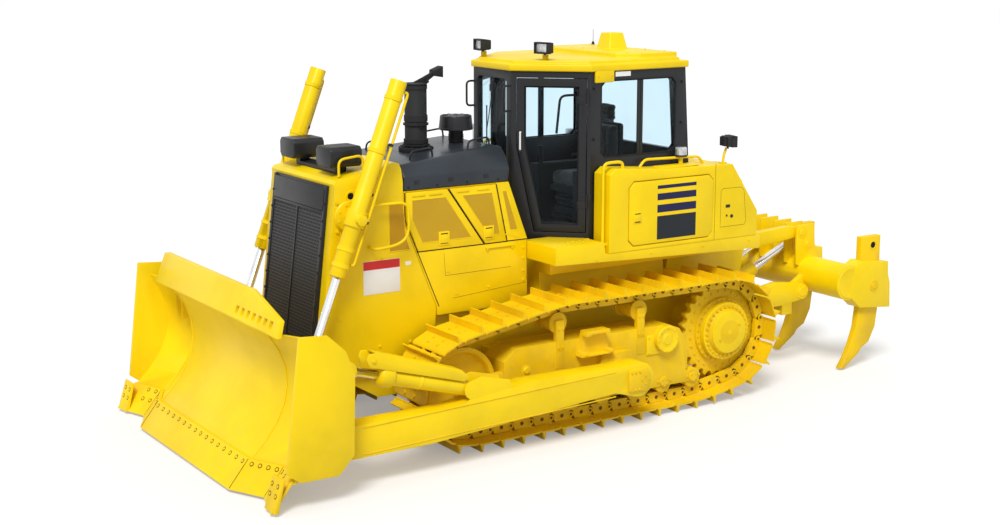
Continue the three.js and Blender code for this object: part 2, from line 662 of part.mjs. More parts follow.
/** Rain flap on the exhaust, with its hinge and the counterweight behind it. */
function exhaustFlap() {
  const seat = EXHAUST_TOP + GAP;
  const lid = post(0, 150, seat, seat + 12, 112, 112, 24);
  const lever = sideplate([[110, seat + 11], [275, seat + 6], [285, seat + 30], [345, seat + 70],
    [340, seat + 110], [225, seat + 58]], -16, 16);
  const weight = sideplate([[325, seat + 72], [425, seat + 55], [425, seat + 160],
    [330, seat + 125]], -48, 48);
  return join(lid, lever, weight, axle(-40, 40, 262, EXHAUST_TOP + 22, 14, 12));
}

/** Two box work lights on one flat bar that lies on the radiator guard. */
function hoodLights() {
  const [front, rear, end] = [-900, -800, 410];
  const body = frontplate([[250, 2585], [490, 2585], [520, 2620], [520, 2730], [490, 2765],
    [250, 2765], [220, 2730], [220, 2620]], -1010, -700);
  const stem = block(330, end, front, rear, guardTopAt(front) + 30, 2590);
  const bar = sideplate([[front, guardTopAt(front) + GAP], [rear, guardTopAt(rear) + GAP],
    [rear, guardTopAt(rear) + 40], [front, guardTopAt(front) + 40]], -end, end);
  return join(body, stem, mirrored(body), mirrored(stem), bar);
}

/** Height of the guard's sloping top at a place along the machine. */
function guardTopAt(y) {
  return GUARD_TOP - 10 + (y + 1020) / 600 * 105;
}

// ---- cab --------------------------------------------------------------------------------------
/** Plan outline of the cab, drawn in by a distance from its outer faces. */
function cabPlan(inset) {
  const dx = CAB_PILLAR.x - CAB_FRONT.x;
  const dy = CAB_PILLAR.y - CAB_FRONT.y;
  const slant = Math.hypot(dx, dy);
  const frontX = CAB_FRONT.x - inset * (slant - dx) / dy;
  const pillarY = CAB_PILLAR.y + inset * (slant - dy) / dx;
  const left = [[frontX, CAB_FRONT.y + inset], [CAB_PILLAR.x - inset, pillarY],
    [CAB_PILLAR.x - inset, CAB_REAR - inset]];
  return [...left, ...left.map(([x, y]) => [-x, y]).reverse()];
}

/** Slopes the cab's rear wall: its foot stands further back than its top. */
const slopeRear = (point) => {
  if (point.y > CAB_REAR - CAB_WALL - 60) {
    point.y += (CAB_TOP - point.z) / (CAB_TOP - CAB_FLOOR) * CAB_REAR_SLOPE;
  }
};

/** A place on the slanted door wall: u from the rear pillar forwards, out from its face. */
function onDoorWall(u, out) {
  const ahead = new THREE.Vector2(CAB_FRONT.x - CAB_PILLAR.x, CAB_FRONT.y - CAB_PILLAR.y).normalize();
  return [CAB_PILLAR.x + ahead.x * u - ahead.y * out, CAB_PILLAR.y + ahead.y * u + ahead.x * out];
}

const DOOR_AXIS = onDoorWall(28, 14);
const HINGE_HEIGHT = 70;
const DOOR_WALL = Math.hypot(CAB_PILLAR.x - CAB_FRONT.x, CAB_PILLAR.y - CAB_FRONT.y);

/** A panel on the left door wall from [u, z] points, from one depth to another. */
function onDoor(points, inner, outer) {
  const body = new THREE.ExtrudeGeometry(shapeOf(points),
    { depth: outer - inner, bevelEnabled: false });
  const ahead = new THREE.Vector3(CAB_FRONT.x - CAB_PILLAR.x, CAB_FRONT.y - CAB_PILLAR.y, 0)
    .normalize();
  const up = new THREE.Vector3(0, 0, 1);
  const inwards = new THREE.Vector3().crossVectors(ahead, up);
  body.translate(0, 0, -outer);
  body.applyMatrix4(new THREE.Matrix4().makeBasis(ahead, up, inwards));
  body.translate(CAB_PILLAR.x, CAB_PILLAR.y, 0);
  return solid(body);
}

/** Door outline in its own plane: it narrows below, to swing past the hood. */
function doorLeaf(inset) {
  const [low, top] = [CAB_FLOOR + 50 + inset, CAB_TOP - 70 - inset];
  return [[40 + inset, low], [DOOR_WALL - 232 - inset, low], [DOOR_WALL - 60 - inset, 2640],
    [DOOR_WALL - 60 - inset, top], [40 + inset, top]];
}

/** A rectangle with its corners cut. */
function rounded(u0, u1, v0, v1, c) {
  return [[u0 + c, v0], [u1 - c, v0], [u1, v0 + c], [u1, v1 - c], [u1 - c, v1], [u0 + c, v1],
    [u0, v1 - c], [u0, v0 + c]];
}

const SIDE_WINDOW = rounded(CAB_PILLAR.y + 120, CAB_REAR - 110, SILL_Z, CAB_TOP - 90, 50);
const FRONT_WINDOW = rounded(-CAB_FRONT.x + 75, CAB_FRONT.x - 75, 2240, CAB_TOP - 80, 30);
const REAR_WINDOW = rounded(-660, 660, SILL_Z, CAB_TOP - 90, 50);

function cabFrame() {
  const shell = planplate(cabPlan(0), CAB_FLOOR - 60, CAB_TOP, slopeRear);
  const room = planplate(cabPlan(CAB_WALL), CAB_FLOOR, CAB_TOP + 100, slopeRear);
  const windows = [
    sideplate(SIDE_WINDOW, -1000, 1000),
    frontplate(FRONT_WINDOW, CAB_FRONT.y - 50, CAB_FRONT.y + CAB_WALL + 60),
    frontplate(REAR_WINDOW, CAB_REAR - CAB_WALL - 50, CAB_REAR + 200)];
  const doorway = onDoor(doorLeaf(-8), -CAB_WALL - 120, 40);
  const hinges = doorHinges(1);
  return join(cut(shell, room, windows, doorway, mirrored(doorway)), hinges, hinges.map(mirrored));
}

/** Hinge knuckles on the door's axis: a pair on the frame, each with a leaf to the wall. */
function doorHinges(level) {
  const [x, y] = DOOR_AXIS;
  return [CAB_FLOOR + 280, CAB_TOP - 300].map((z) => {
    const low = z + level * (HINGE_HEIGHT + GAP);
    const leaf = level ? onDoor([[-10, low], [25, low], [25, low + HINGE_HEIGHT],
      [-10, low + HINGE_HEIGHT]], -4, 10) : onDoor([[36, low], [120, low],
      [120, low + HINGE_HEIGHT], [36, low + HINGE_HEIGHT]], -4, 10);
    return join(post(x, y, low, low + HINGE_HEIGHT, 12, 12, 12), leaf);
  });
}

/** Glass that stands in a window of the cab with a thin seam round it. */
function cabGlass() {
  const seam = (points) => {
    const middle = points.reduce(([u, v], [a, b]) => [u + a / points.length,
      v + b / points.length], [0, 0]);
    return points.map(([u, v]) => [u - Math.sign(u - middle[0]) * GAP,
      v - Math.sign(v - middle[1]) * GAP]);
  };
  const depth = CAB_WALL / 2;
  const rear = frontplate(seam(REAR_WINDOW), CAB_REAR - 20, CAB_REAR - 20 + GLASS_THICK);
  const leaned = geometryOf(rear);
  warpPoints(leaned, (p) => {
    p.y += (CAB_TOP - p.z) / (CAB_TOP - CAB_FLOOR) * CAB_REAR_SLOPE - CAB_WALL / 2 + 20;
  });
  return {
    side: sideplate(seam(SIDE_WINDOW), CAB_PILLAR.x - depth, CAB_PILLAR.x - depth + GLASS_THICK),
    windshield: frontplate(seam(FRONT_WINDOW), CAB_FRONT.y + depth - GLASS_THICK,
      CAB_FRONT.y + depth),
    rear: leaned,
  };
}

/** Cab door: a frame as thick as the wall, with its pane's opening. */
function cabDoor() {
  const border = 70;
  return join(cut(onDoor(doorLeaf(0), -CAB_WALL, 0), onDoor(doorLeaf(border), -CAB_WALL - 5, 5)),
    doorHinges(0));
}

function cabDoorGlass() {
  const border = 70 + GAP;
  return onDoor(doorLeaf(border), -CAB_WALL / 2 - GLASS_THICK, -CAB_WALL / 2);
}

/** Roof with an eaves line, a raised rear slab and a box for aerials. */
function cabRoof() {
  const low = CAB_TOP + GAP;
  const brim = planplate(cabPlan(-25), low, low + ROOF_THICK - 30);
  const crown = planplate(cabPlan(40), low, low + ROOF_THICK);
  const slab = planplate([[-560, 2060], [560, 2060], [720, 2250], [720, 2700], [-720, 2700],
    [-720, 2250]], low + 10, low + 140);
  const tower = new THREE.CylinderGeometry(115, 165, 170, 4, 1);
  tower.rotateY(Math.PI / 4);
  tower.rotateX(Math.PI / 2);
  tower.translate(0, 2440, low + 215);
  return join(brim, crown, slab, solid(tower));
}

function addCab() {
  const glass = cabGlass();
  place(machine, "cab_frame", cabFrame(), BLACK);
  place(machine, "cab_roof", cabRoof(), YELLOW);
  place(machine, "windshield", glass.windshield, GLASS);
  place(machine, "rear_window", glass.rear, GLASS);
  placePair(machine, "side_window", glass.side, GLASS);
  for (const side of [1, -1]) {
    const name = side > 0 ? "left" : "right";
    const [x, y] = DOOR_AXIS;
    const hinge = pivot(`cab_door_${name}_pivot`, machine, side * x, y, CAB_FLOOR + 300);
    const shapes = [[`cab_door_${name}`, cabDoor(), BLACK],
      [`door_glass_${name}`, cabDoorGlass(), GLASS]];
    for (const [label, body, material] of shapes) {
      place(hinge, label, side > 0 ? body : mirrored(body), material);
    }
  }
  place(machine, "operator_seat", operatorSeat(), SEAT);
  place(machine, "control_console", controlConsole(), BLACK);
}

/** Seat on its base: cushion, back and headrest in one. */
function operatorSeat() {
  const floor = CAB_FLOOR + GAP;
  const base = block(-210, 210, 1900, 2300, floor, floor + 300);
  const cushion = sideplate([[1800, floor + 290], [2330, floor + 290], [2330, floor + 400],
    [1850, floor + 430], [1800, floor + 400]], -255, 255);
  const back = sideplate([[2230, floor + 380], [2370, floor + 380], [2470, floor + 960],
    [2350, floor + 980]], -240, 240);
  const head = sideplate([[2370, floor + 970], [2455, floor + 950], [2480, floor + 1170],
    [2390, floor + 1190]], -130, 130);
  return join(base, cushion, back, head);
}

/** Dashboard and arm consoles with their levers. */
function controlConsole() {
  const floor = CAB_FLOOR + GAP;
  const dash = sideplate([[1090, floor], [1330, floor], [1290, floor + 620],
    [1180, floor + 700], [1090, floor + 690]], -230, 230);
  const arms = [-1, 1].map((side) => {
    const [near, far] = [side * 300, side * 440];
    return join(block(Math.min(near, far), Math.max(near, far), 1750, 2350, floor, floor + 560),
      post(side * 370, 1830, floor + 555, floor + 740, 26, 34, 12));
  });
  const bridge = block(-440, 440, 2320, 2350, floor, floor + 120);
  const mat = block(-440, 440, 1300, 2330, floor, floor + 15);
  const seatRoom = block(-214, 214, 1890, 2310, floor - 5, floor + 50);
  return cut(join(dash, arms, bridge, mat), seatRoom);
}

// ---- side consoles and deck ---------------------------------------------------------------------
function consoleOutline(low) {
  return [[CONSOLE_FRONT, low], [CONSOLE_REAR, low], [CONSOLE_REAR, 1890],
    [3110, CONSOLE_TOP - 25], [CONSOLE_FRONT + 620, CONSOLE_TOP - 10],
    [CONSOLE_FRONT + 70, CONSOLE_TOP + 35], [CONSOLE_FRONT, CONSOLE_TOP - 20]];
}

/** The box beside the cab; the left one is hollow behind its door. */
function sideConsole() {
  return sideplate(consoleOutline(CONSOLE_LOW), CONSOLE_IN, CONSOLE_OUT);
}

function leftConsole() {
  const { front, rear, low, top } = CONSOLE_DOOR;
  const wall = 45;
  const store = sideplate(rounded(front + 20, rear - 20, low + 20, top - 20, 20),
    CONSOLE_IN + wall, CONSOLE_OUT + 5);
  const rebate = sideplate(rounded(front - 8, rear + 8, low - 8, top + 8, 60),
    CONSOLE_OUT - CONSOLE_DOOR.thick + 5, CONSOLE_OUT + 5);
  return cut(sideConsole(), store, rebate);
}

/** Deck plates below the doors, running back as the sill under the side boxes. */
function deck() {
  const sill = sideplate([[HOOD_REAR_FOOT + GAP, DECK_LOW + 15], [CONSOLE_REAR + 50, DECK_LOW - 75],
    [CONSOLE_REAR + 50, CONSOLE_LOW - GAP - 10], [CONSOLE_REAR, CONSOLE_LOW - GAP],
    [CONSOLE_FRONT - 40, CONSOLE_LOW - GAP], [CONSOLE_FRONT - 60, DECK_TOP],
    [HOOD_REAR_FOOT + GAP, DECK_TOP]],
  HOOD_HALF - 60, CONSOLE_OUT - 5);
  const cabRoom = planplate(cabPlan(-GAP), CAB_FLOOR - 60 - GAP, CAB_TOP, slopeRear);
  const tray = block(-HOOD_HALF + 59, HOOD_HALF - 59, 1180, 2705, DECK_LOW, CAB_FLOOR - 60 - GAP);
  const under = sideplate([[1170, 900], [3310, 900], [3310, DECK_LOW], [1170, DECK_LOW]],
    -HULL_HALF - 185, HULL_HALF + 185);
  return cut(join(sill, mirrored(sill), tray), cabRoom, under);
}

/** The tank behind the cab, between the side boxes, on its pedestal on the hull. */
function fuelTank() {
  const [front, rear] = [2870, CONSOLE_REAR + 30];
  const tank = sideplate([[front, CONSOLE_LOW], [rear, CONSOLE_LOW], [rear, 2150],
    [rear - 150, 2330], [front, 2350]], -CONSOLE_IN + GAP, CONSOLE_IN - GAP);
  const half = HOOD_HALF - 61;
  return join(tank, block(-half, half, front, rear - 20, HULL_TOP + 440 + GAP, CONSOLE_LOW + 5));
}

function addConsoles() {
  place(machine, "deck", deck(), YELLOW);
  place(machine, "console_left", leftConsole(), YELLOW);
  place(machine, "console_right", mirrored(sideConsole()), YELLOW);
  const { front, rear, low, top, thick } = CONSOLE_DOOR;
  const hinge = pivot("console_door_pivot", machine, CONSOLE_OUT + 10, rear + 4, (low + top) / 2);
  const leaf = sideplate(rounded(front, rear, low, top, 55),
    CONSOLE_OUT - thick + 5 + GAP, CONSOLE_OUT + 4);
  place(hinge, "console_door", leaf, YELLOW);
  place(machine, "fuel_tank", fuelTank(), YELLOW);
}

// ---- blade --------------------------------------------------------------------------------------
/** Front line of the blade's plan, moved back by a distance; the left half is mirrored. */
function bladePlan(back) {
  const left = [[0, BLADE_PLAN.centre], [BLADE_FOLD, BLADE_PLAN.centre],
    [BLADE_NOTCH, BLADE_PLAN.notch], [BLADE_HALF - 20, BLADE_PLAN.end]];
  const half = left.map(([x, y]) => [x, y + back]);
  return [...half.slice(1).reverse().map(([x, y]) => [-x, y]), ...half];
}

/** How far the mouldboard lies behind its lower edge at a height. */
function bladeHollow(z) {
  const share = (z - BLADE_LOW) / (BLADE_TOP - BLADE_LOW);
  return BLADE_CURVE * 4 * share * (1 - share) * 0.8 + 190 * share;
}

/** A wall that follows the blade's plan and its hollow, between two heights. */
function bladeWall(low, top, steps, front, back, hollow = bladeHollow) {
  const line = bladePlan(0);
  const points = [];
  const ring = 2 * line.length;
  for (let i = 0; i <= steps; i += 1) {
    const z = low + (top - low) * i / steps;
    for (const [x, y] of line) points.push(x, y + hollow(z) + front, z);
    for (const [x, y] of [...line].reverse()) points.push(x, y + hollow(z) + back, z);
  }
  const faces = [];
  for (let i = 0; i < steps; i += 1) {
    for (let k = 0; k < ring; k += 1) {
      const a = i * ring + k;
      const b = i * ring + (k + 1) % ring;
      faces.push(a, b, b + ring, a, b + ring, a + ring);
    }
  }
  const end = steps * ring;
  for (let k = 0; k < line.length - 1; k += 1) {
    const [a, b, c, d] = [k, k + 1, ring - 2 - k, ring - 1 - k];
    faces.push(a, c, b, a, d, c, end + a, end + b, end + c, end + a, end + c, end + d);
  }
  const body = new THREE.BufferGeometry();
  body.setAttribute("position", new THREE.Float32BufferAttribute(points, 3));
  body.setIndex(faces);
  return upright(solid(body), body);
}

/** Mouldboard with its spill guard, end plates, back beams and brackets. */
function bladeBody() {
  const board = bladeWall(BLADE_LOW, BLADE_TOP, 7, 0, BLADE_THICK);
  const yTop = BLADE_PLAN.centre + bladeHollow(BLADE_TOP);
  const beam = (z0, z1, front) => sideplate([[front, z0], [BEAM_BACK, z0 + 30],
    [BEAM_BACK, z1 - 30], [front, z1]], -BLADE_HALF + 22, BLADE_HALF - 22);
  const front = bladeWall(BLADE_LOW + 1, BLADE_TOP - 1, 7, -900, BLADE_THICK / 2);
  const beams = [beam(300, 540, -2000), beam(900, 1160, -1900)].map((body) => cut(body, front));
  const plate = sideplate([[-2108, 337], [-1990, 250], [-1640, 250], [-1500, 400], [-1480, 1080],
    [-1560, 1290], [-1720, 1440], [-1972, 1458]], BLADE_HALF - 22, BLADE_HALF + 8);
  const guardLow = BLADE_TOP - 12;
  const spill = sideplate([[yTop, guardLow], [yTop + BLADE_THICK, guardLow],
    [yTop + BLADE_THICK + 120, guardLow + GUARD_RISE], [yTop + 105, guardLow + GUARD_RISE]],
  -1500, 150);
  const slotted = slottedGuard(yTop, guardLow);
  const brackets = [
    liftBracket(BEAM_BACK),
    fork(ARM_BALL),
    fork(TILT_EYE)];
  const pairs = brackets.flatMap((body) => [body, mirrored(body)]);
  return join(board, beams, plate, mirrored(plate), spill, slotted, pairs);
}

/** The open-slotted part of the spill guard on the operator's left. */
function slottedGuard(yTop, low) {
  const panel = frontplate([[145, low - 10], [1240, low - 10], [1180, low + 130],
    [500, low + GUARD_RISE], [145, low + GUARD_RISE]], yTop - 200, yTop + 400);
  const sheet = sideplate([[yTop, low], [yTop + BLADE_THICK, low],
    [yTop + BLADE_THICK + 120, low + GUARD_RISE], [yTop + 105, low + GUARD_RISE]], 140, 1300);
  const slots = Array.from({ length: 7 }, (_, i) =>
    block(330 + i * 115, 390 + i * 115, yTop - 50, yTop + 300, low + 45, low + 110));
  return cut(sheet.intersect(panel), slots);
}

/** Two ears behind the blade that a lift cylinder's eye hangs between. */
function liftBracket(y) {
  const ear = [[y - 30, LIFT_EYE.z - 150], [LIFT_EYE.y + 20, LIFT_EYE.z - 90],
    [LIFT_EYE.y + 60, LIFT_EYE.z - 50], [LIFT_EYE.y + 60, LIFT_EYE.z + 50],
    [LIFT_EYE.y + 20, LIFT_EYE.z + 80], [y - 120, LIFT_EYE.z + 110]];
  return [-1, 1].map((side) => {
    const near = LIFT_X + side * 85;
    const far = LIFT_X + side * 115;
    return sideplate(ear, Math.min(near, far), Math.max(near, far));
  }).reduce((a, b) => a.add(b));
}

const ARM_X = ARM_IN + ARM_WIDTH / 2;
const KNUCKLE = 110;                                // width of the joint at an arm's front

/** Two cheeks behind the blade that hold a round eye between them. */
function fork(eye) {
  const r = 85;
  const cheek = [[BEAM_BACK - 30, eye.z - 110], [eye.y, eye.z - r],
    ...arc(eye.y, eye.z, r, -60, 60, 4), [eye.y, eye.z + r], [BEAM_BACK - 30, eye.z + 105]];
  return join([-1, 1].map((side) => {
    const near = ARM_X + side * (KNUCKLE / 2 + GAP);
    const far = near + side * 32;
    return sideplate(cheek, Math.min(near, far), Math.max(near, far));
  }));
}

/** Bolted cutting edge with its end bits, in front of the mouldboard's foot. */
function cuttingEdge() {
  const lean = (z) => (z - BLADE_LOW) / (BLADE_LOW - EDGE_LOW) * EDGE_REACH;
  const edge = bladeWall(EDGE_LOW, BLADE_LOW + 25, 1, -EDGE_THICK - GAP, -GAP, lean);
  const bit = sideplate([[-2232, EDGE_LOW], [-2150, 300], [-2128, 300], [-2195, EDGE_LOW]],
    BLADE_HALF - 190, BLADE_HALF + 8);
  return join(edge, bit, mirrored(bit));
}

// ---- push arms ----------------------------------------------------------------------------------
/** A push arm: a tapered box from the ball joint back to the cap on the frame's pin. */
function pushArm() {
  const { y, z } = ARM_PIVOT;
  const low = ARM_BALL.z - ARM_HEIGHT / 2;
  const top = ARM_BALL.z + ARM_HEIGHT / 2;
  const box = sideplate([[-1410, low], [-640, low + 5], [y - 280, z - 90],
    ...arc(y, z, 165, -100, 100, 10), [y - 280, z + 155], [350, z + 165], [-485, top],
    [-1410, top]], ARM_IN, ARM_IN + ARM_WIDTH);
  const bore = axle(ARM_IN - 5, ARM_IN + ARM_WIDTH + 5, y, z, 80, 24);
  const knuckle = join(
    axle(ARM_X - KNUCKLE / 2, ARM_X + KNUCKLE / 2, ARM_BALL.y, ARM_BALL.z, 78, 20),
    block(ARM_X - KNUCKLE / 2, ARM_X + KNUCKLE / 2, ARM_BALL.y, -1405, ARM_BALL.z - 60,
      ARM_BALL.z + 60));
  return join(cut(box, bore), knuckle);
}

/** The left arm with the tilt cylinder's base bracket on its top. */
function leftArm() {
  const { y, z } = TILT_BASE;
  const cheek = [[y - 130, z - 140], [y + 420, z - 60], [y + 380, z + 40], [y + 90, z + 110],
    ...arc(y, z, 85, 90, 250, 6)];
  const cheeks = [-1, 1].map((side) => {
    const near = ARM_X + side * (TILT_BORE / 2 + 12);
    const far = near + side * 10;
    return sideplate(cheek, Math.min(near, far), Math.max(near, far));
  });
  return join(pushArm(), cheeks);
}

/** The round eye that a fork holds. */
function roundEye({ y, z }) {
  return axle(ARM_X - KNUCKLE / 2, ARM_X + KNUCKLE / 2, y, z, 62, 20);
}

/** The right arm with its fixed brace up to the blade's upper fork. */
function rightArm() {
  const { y, z } = TILT_BASE;
  const foot = sideplate([[y - 130, z - 140], [y + 420, z - 60], [y + 90, z + 100],
    [y - 60, z + 80]], ARM_X - 60, ARM_X + 60);
  const start = [ARM_X, y, z];
  const brace = join(bar(start, [ARM_X, TILT_EYE.y, TILT_EYE.z], 48),
    bar(start, along(ARM_X, TILT_BASE, TILT_EYE, spanOf(TILT_BASE, TILT_EYE) * 0.75), 70));
  return mirrored(join(pushArm(), foot, brace, roundEye(TILT_EYE)));
}

/** Barrel of a cylinder between its base and its gland, bored for its rod. */
function barrel(from, to, r, bore, sides = 16) {
  return cut(bar(from, to, r, sides), boreAlong(from, to, bore, sides));
}

/** The bore for a rod: from past the gland to just short of the barrel's closed end. */
function boreAlong(from, to, r, sides) {
  const start = new THREE.Vector3(...from);
  const end = new THREE.Vector3(...to);
  const ahead = end.clone().sub(start).normalize();
  start.addScaledVector(ahead, 45);
  end.addScaledVector(ahead, 30);
  return bar(start.toArray(), end.toArray(), r + 0.4, sides);
}

/** The point a distance along the way from one place to another. */
function along(x, from, to, distance) {
  const way = new THREE.Vector2(to.y - from.y, to.z - from.z).setLength(distance);
  return [x, from.y + way.x, from.z + way.y];
}

const spanOf = (from, to) => Math.hypot(to.y - from.y, to.z - from.z);

function tiltCylinder() {
  const base = [ARM_X, TILT_BASE.y, TILT_BASE.z];
  const gland = along(ARM_X, TILT_BASE, TILT_EYE, spanOf(TILT_BASE, TILT_EYE) - 330);
  const tube = barrel(base, gland, TILT_BORE / 2, TILT_ROD / 2);
  const pin = axle(ARM_X - TILT_BORE / 2 - 12 + GAP, ARM_X + TILT_BORE / 2 + 12 - GAP,
    TILT_BASE.y, TILT_BASE.z, 50, 16);
  const head = along(ARM_X, TILT_BASE, TILT_EYE, spanOf(TILT_BASE, TILT_EYE) - 470);
  const flange = barrel(head, gland, TILT_BORE / 2 + 22, TILT_ROD / 2);
  const shield = sideplate([[TILT_BASE.y - 60, TILT_BASE.z + 90], [TILT_BASE.y - 900, 1010],
    [TILT_BASE.y - 980, 1120], [TILT_BASE.y - 880, 1130], [TILT_BASE.y - 40, TILT_BASE.z + 150]],
  ARM_X - 85, ARM_X + 85);
  const clearBarrel = bar(base, along(ARM_X, TILT_BASE, TILT_EYE, 1400), TILT_BORE / 2 - 3);
  const bore = boreAlong(base, gland, TILT_ROD / 2, 16);
  return cut(join(cut(shield, clearBarrel), tube, pin, flange), bore);
}

function tiltRod() {
  const start = along(ARM_X, TILT_BASE, TILT_EYE, 300);
  const knob = along(ARM_X, TILT_BASE, TILT_EYE, spanOf(TILT_BASE, TILT_EYE) - 130);
  const eye = [ARM_X, TILT_EYE.y, TILT_EYE.z];
  return join(bar(start, eye, TILT_ROD / 2, 16), bar(knob, eye, 50, 16), roundEye(TILT_EYE));
}

const BRACE_Z = 420;

/** Tube that steadies the blade sideways, between its middle and the left arm. */
function diagonalBrace() {
  const z = BRACE_Z;
  const foot = block(60, 180, BEAM_BACK + GAP, BEAM_BACK + 110, z - 60, z + 60);
  return join(bar([ARM_IN - 60, -1200, z], [120, BEAM_BACK + 85, z], 48, 16), foot);
}

// ---- lift cylinders -------------------------------------------------------------------------------
function liftBarrel() {
  const foot = along(LIFT_X, LIFT_TRUNNION, LIFT_EYE, LIFT_FOOT);
  const top = along(LIFT_X, LIFT_TRUNNION, LIFT_EYE, -LIFT_TOP);
  const tube = barrel(top, foot, LIFT_BARREL / 2, LIFT_ROD / 2);
  const collar = barrel(along(LIFT_X, LIFT_TRUNNION, LIFT_EYE, -75),
    along(LIFT_X, LIFT_TRUNNION, LIFT_EYE, 75), LIFT_BARREL / 2 + 16, LIFT_ROD / 2);
  const stub = LIFT_BARREL / 2 + 28 - GAP;
  const trunnion = axle(LIFT_X - stub, LIFT_X + stub + 30, LIFT_TRUNNION.y, LIFT_TRUNNION.z, 48);
  const bore = boreAlong(top, foot, LIFT_ROD / 2, 16);
  return cut(join(tube, collar, trunnion), bore);
}

function liftRod() {
  const span = spanOf(LIFT_TRUNNION, LIFT_EYE);
  const rod = bar(along(LIFT_X, LIFT_TRUNNION, LIFT_EYE, span - 1900),
    along(LIFT_X, LIFT_TRUNNION, LIFT_EYE, span - 20), LIFT_ROD / 2, 16);
  return join(rod, axle(LIFT_X - 45, LIFT_X + 45, LIFT_EYE.y, LIFT_EYE.z, 62, 20));
}

// ---- ripper ---------------------------------------------------------------------------------------
const EYE_HALF = 79.7;                              // half width of the link and rod eyes
const EYE_R = 50;
const WEB_HALF = RIPPER_CYL_X - EYE_HALF - 5;
const RIPPER_ARM_WIDTH = 110;
const LINK_SPAN = { y: RIPPER_ARM_TIP.y - RIPPER_ARM_BASE.y, z: RIPPER_ARM_TIP.z - RIPPER_ARM_BASE.z };
const LINK_TIP = { y: RIPPER_LINK_BASE.y + LINK_SPAN.y, z: RIPPER_LINK_BASE.z + LINK_SPAN.z };

/** The lower arm frame: two side arms joined by a cross tube below them. */
function ripperArm() {
  const { y, z } = RIPPER_ARM_BASE;
  const tip = RIPPER_ARM_TIP;
  const side = join([-1, 1].map((sign) => {
    const near = sign * (RIPPER_ARM_X - RIPPER_ARM_WIDTH / 2);
    const far = sign * (RIPPER_ARM_X + RIPPER_ARM_WIDTH / 2);
    return sideplate([...arc(y, z, 85, 90, 270, 6), [tip.y - 300, tip.z - 120],
      ...arc(tip.y, tip.z, 85, -90, 90, 6), [tip.y - 350, tip.z + 130]],
    Math.min(near, far), Math.max(near, far));
  }));
  return join(side, axle(-RIPPER_ARM_X, RIPPER_ARM_X, y + 690, z - 140, 48, 16),
    [-1, 1].map((sign) => block(sign * RIPPER_ARM_X - 50, sign * RIPPER_ARM_X + 50,
      y + 620, y + 760, z - 190, z - 60)));
}

/** The pair of upper links with the tube between them. */
function ripperLink() {
  const { y, z } = RIPPER_LINK_BASE;
  const links = [-1, 1].flatMap((side) => {
    const x = side * RIPPER_TOWER_X;
    const body = sideplate([...arc(y, z, EYE_R, 90, 270, 6), [y + 150, z - 75],
      [LINK_TIP.y - 150, LINK_TIP.z - 70], ...arc(LINK_TIP.y, LINK_TIP.z, EYE_R, -90, 90, 6),
      [LINK_TIP.y - 150, LINK_TIP.z + 70], [y + 150, z + 75]], x - 47, x + 47);
    return [body, ...[RIPPER_LINK_BASE, LINK_TIP].map((eye) =>
      axle(x - EYE_HALF, x + EYE_HALF, eye.y, eye.z, EYE_R, 16))];
  });
  return join(links, axle(-RIPPER_TOWER_X, RIPPER_TOWER_X, y + 480, z + 20, 42, 16));
}

/** Upright plates: three on each side, with a link and a cylinder's eye between them. */
function towerPlates(outline) {
  const half = EYE_HALF + GAP;
  const edges = [RIPPER_CYL_X - half, RIPPER_CYL_X + half, RIPPER_TOWER_X + half];
  return edges.flatMap((x, i) => {
    const plate = sideplate(outline, i ? x : x - 20, i ? x + 20 : x);
    return [plate, mirrored(plate)];
  });
}

/** Lugs beside the lower arms, at one of their ends. */
function armLugs(outline) {
  const outer = RIPPER_ARM_X - RIPPER_ARM_WIDTH / 2 - GAP;
  return [sideplate(outline, outer - 60, outer), sideplate(outline, -outer, -outer + 60)];
}

function ripperBeam() {
  const { y, z, r, half } = RIPPER_BEAM;
  const tube = axle(-half, half, y, z, r, 24);
  const towers = towerPlates([[y - 60, z + 60], [y - 210, z + 120], [LINK_TIP.y - 85, LINK_TIP.z - 90],
    [LINK_TIP.y - 75, LINK_TIP.z + 85], [y + 45, LINK_TIP.z + 85], [y + 60, RIPPER_ROD_EYE.z],
    [y + 150, z + 110], [y + 60, z + 60]]);
  const web = block(-WEB_HALF, WEB_HALF, y + 20, y + 50, z + 150, LINK_TIP.z - 20);
  const tip = RIPPER_ARM_TIP;
  const lugs = armLugs([...arc(tip.y, tip.z, 82, 120, 270, 6), [y - 20, z - 150], [y - 20, z + 120]]);
  const holders = SHANK_X.map((x) => shankHolder(x));
  return join(tube, towers, web, lugs, holders);
}

/** The box behind the beam that a shank is pinned in. */
function shankHolder(x) {
  const { y, z } = RIPPER_BEAM;
  const box = sideplate([[y, z - 150], [y + 160, z - 290], [SHANK_REAR + 130, z - 335],
    [SHANK_REAR + 115, z - 60], [SHANK_REAR + 85, z + 30], [SHANK_REAR + 75, z + 175],
    [y + 170, z + 215], [y + 60, z + 150]], x - 92, x + 92);
  return cut(box, block(x - SHANK_WIDTH / 2 - GAP, x + SHANK_WIDTH / 2 + GAP,
    SHANK_FRONT - GAP, SHANK_REAR + GAP, 200, 1600));
}

const SHANK_FRONT = RIPPER_BEAM.y + 195;
const SHANK_REAR = SHANK_FRONT + 285;
const SHANK_TOP = 1440;

/** A curved shank with its pointed tooth. */
function ripperShank(x) {
  const [front, rear] = [SHANK_FRONT, SHANK_REAR];
  return sideplate([[front, SHANK_TOP], [front, 640], [front - 25, 450], [front - 80, 290],
    [front - 160, 130], [front - 235, 20], [front - 185, 14], [front + 30, 160],
    [front + 70, 215], [rear - 110, 270], [rear - 25, 430], [rear, 620], [rear, SHANK_TOP]],
  x - SHANK_WIDTH / 2, x + SHANK_WIDTH / 2);
}

const RIPPER_GLAND = 560;                           // barrel length from the base pin

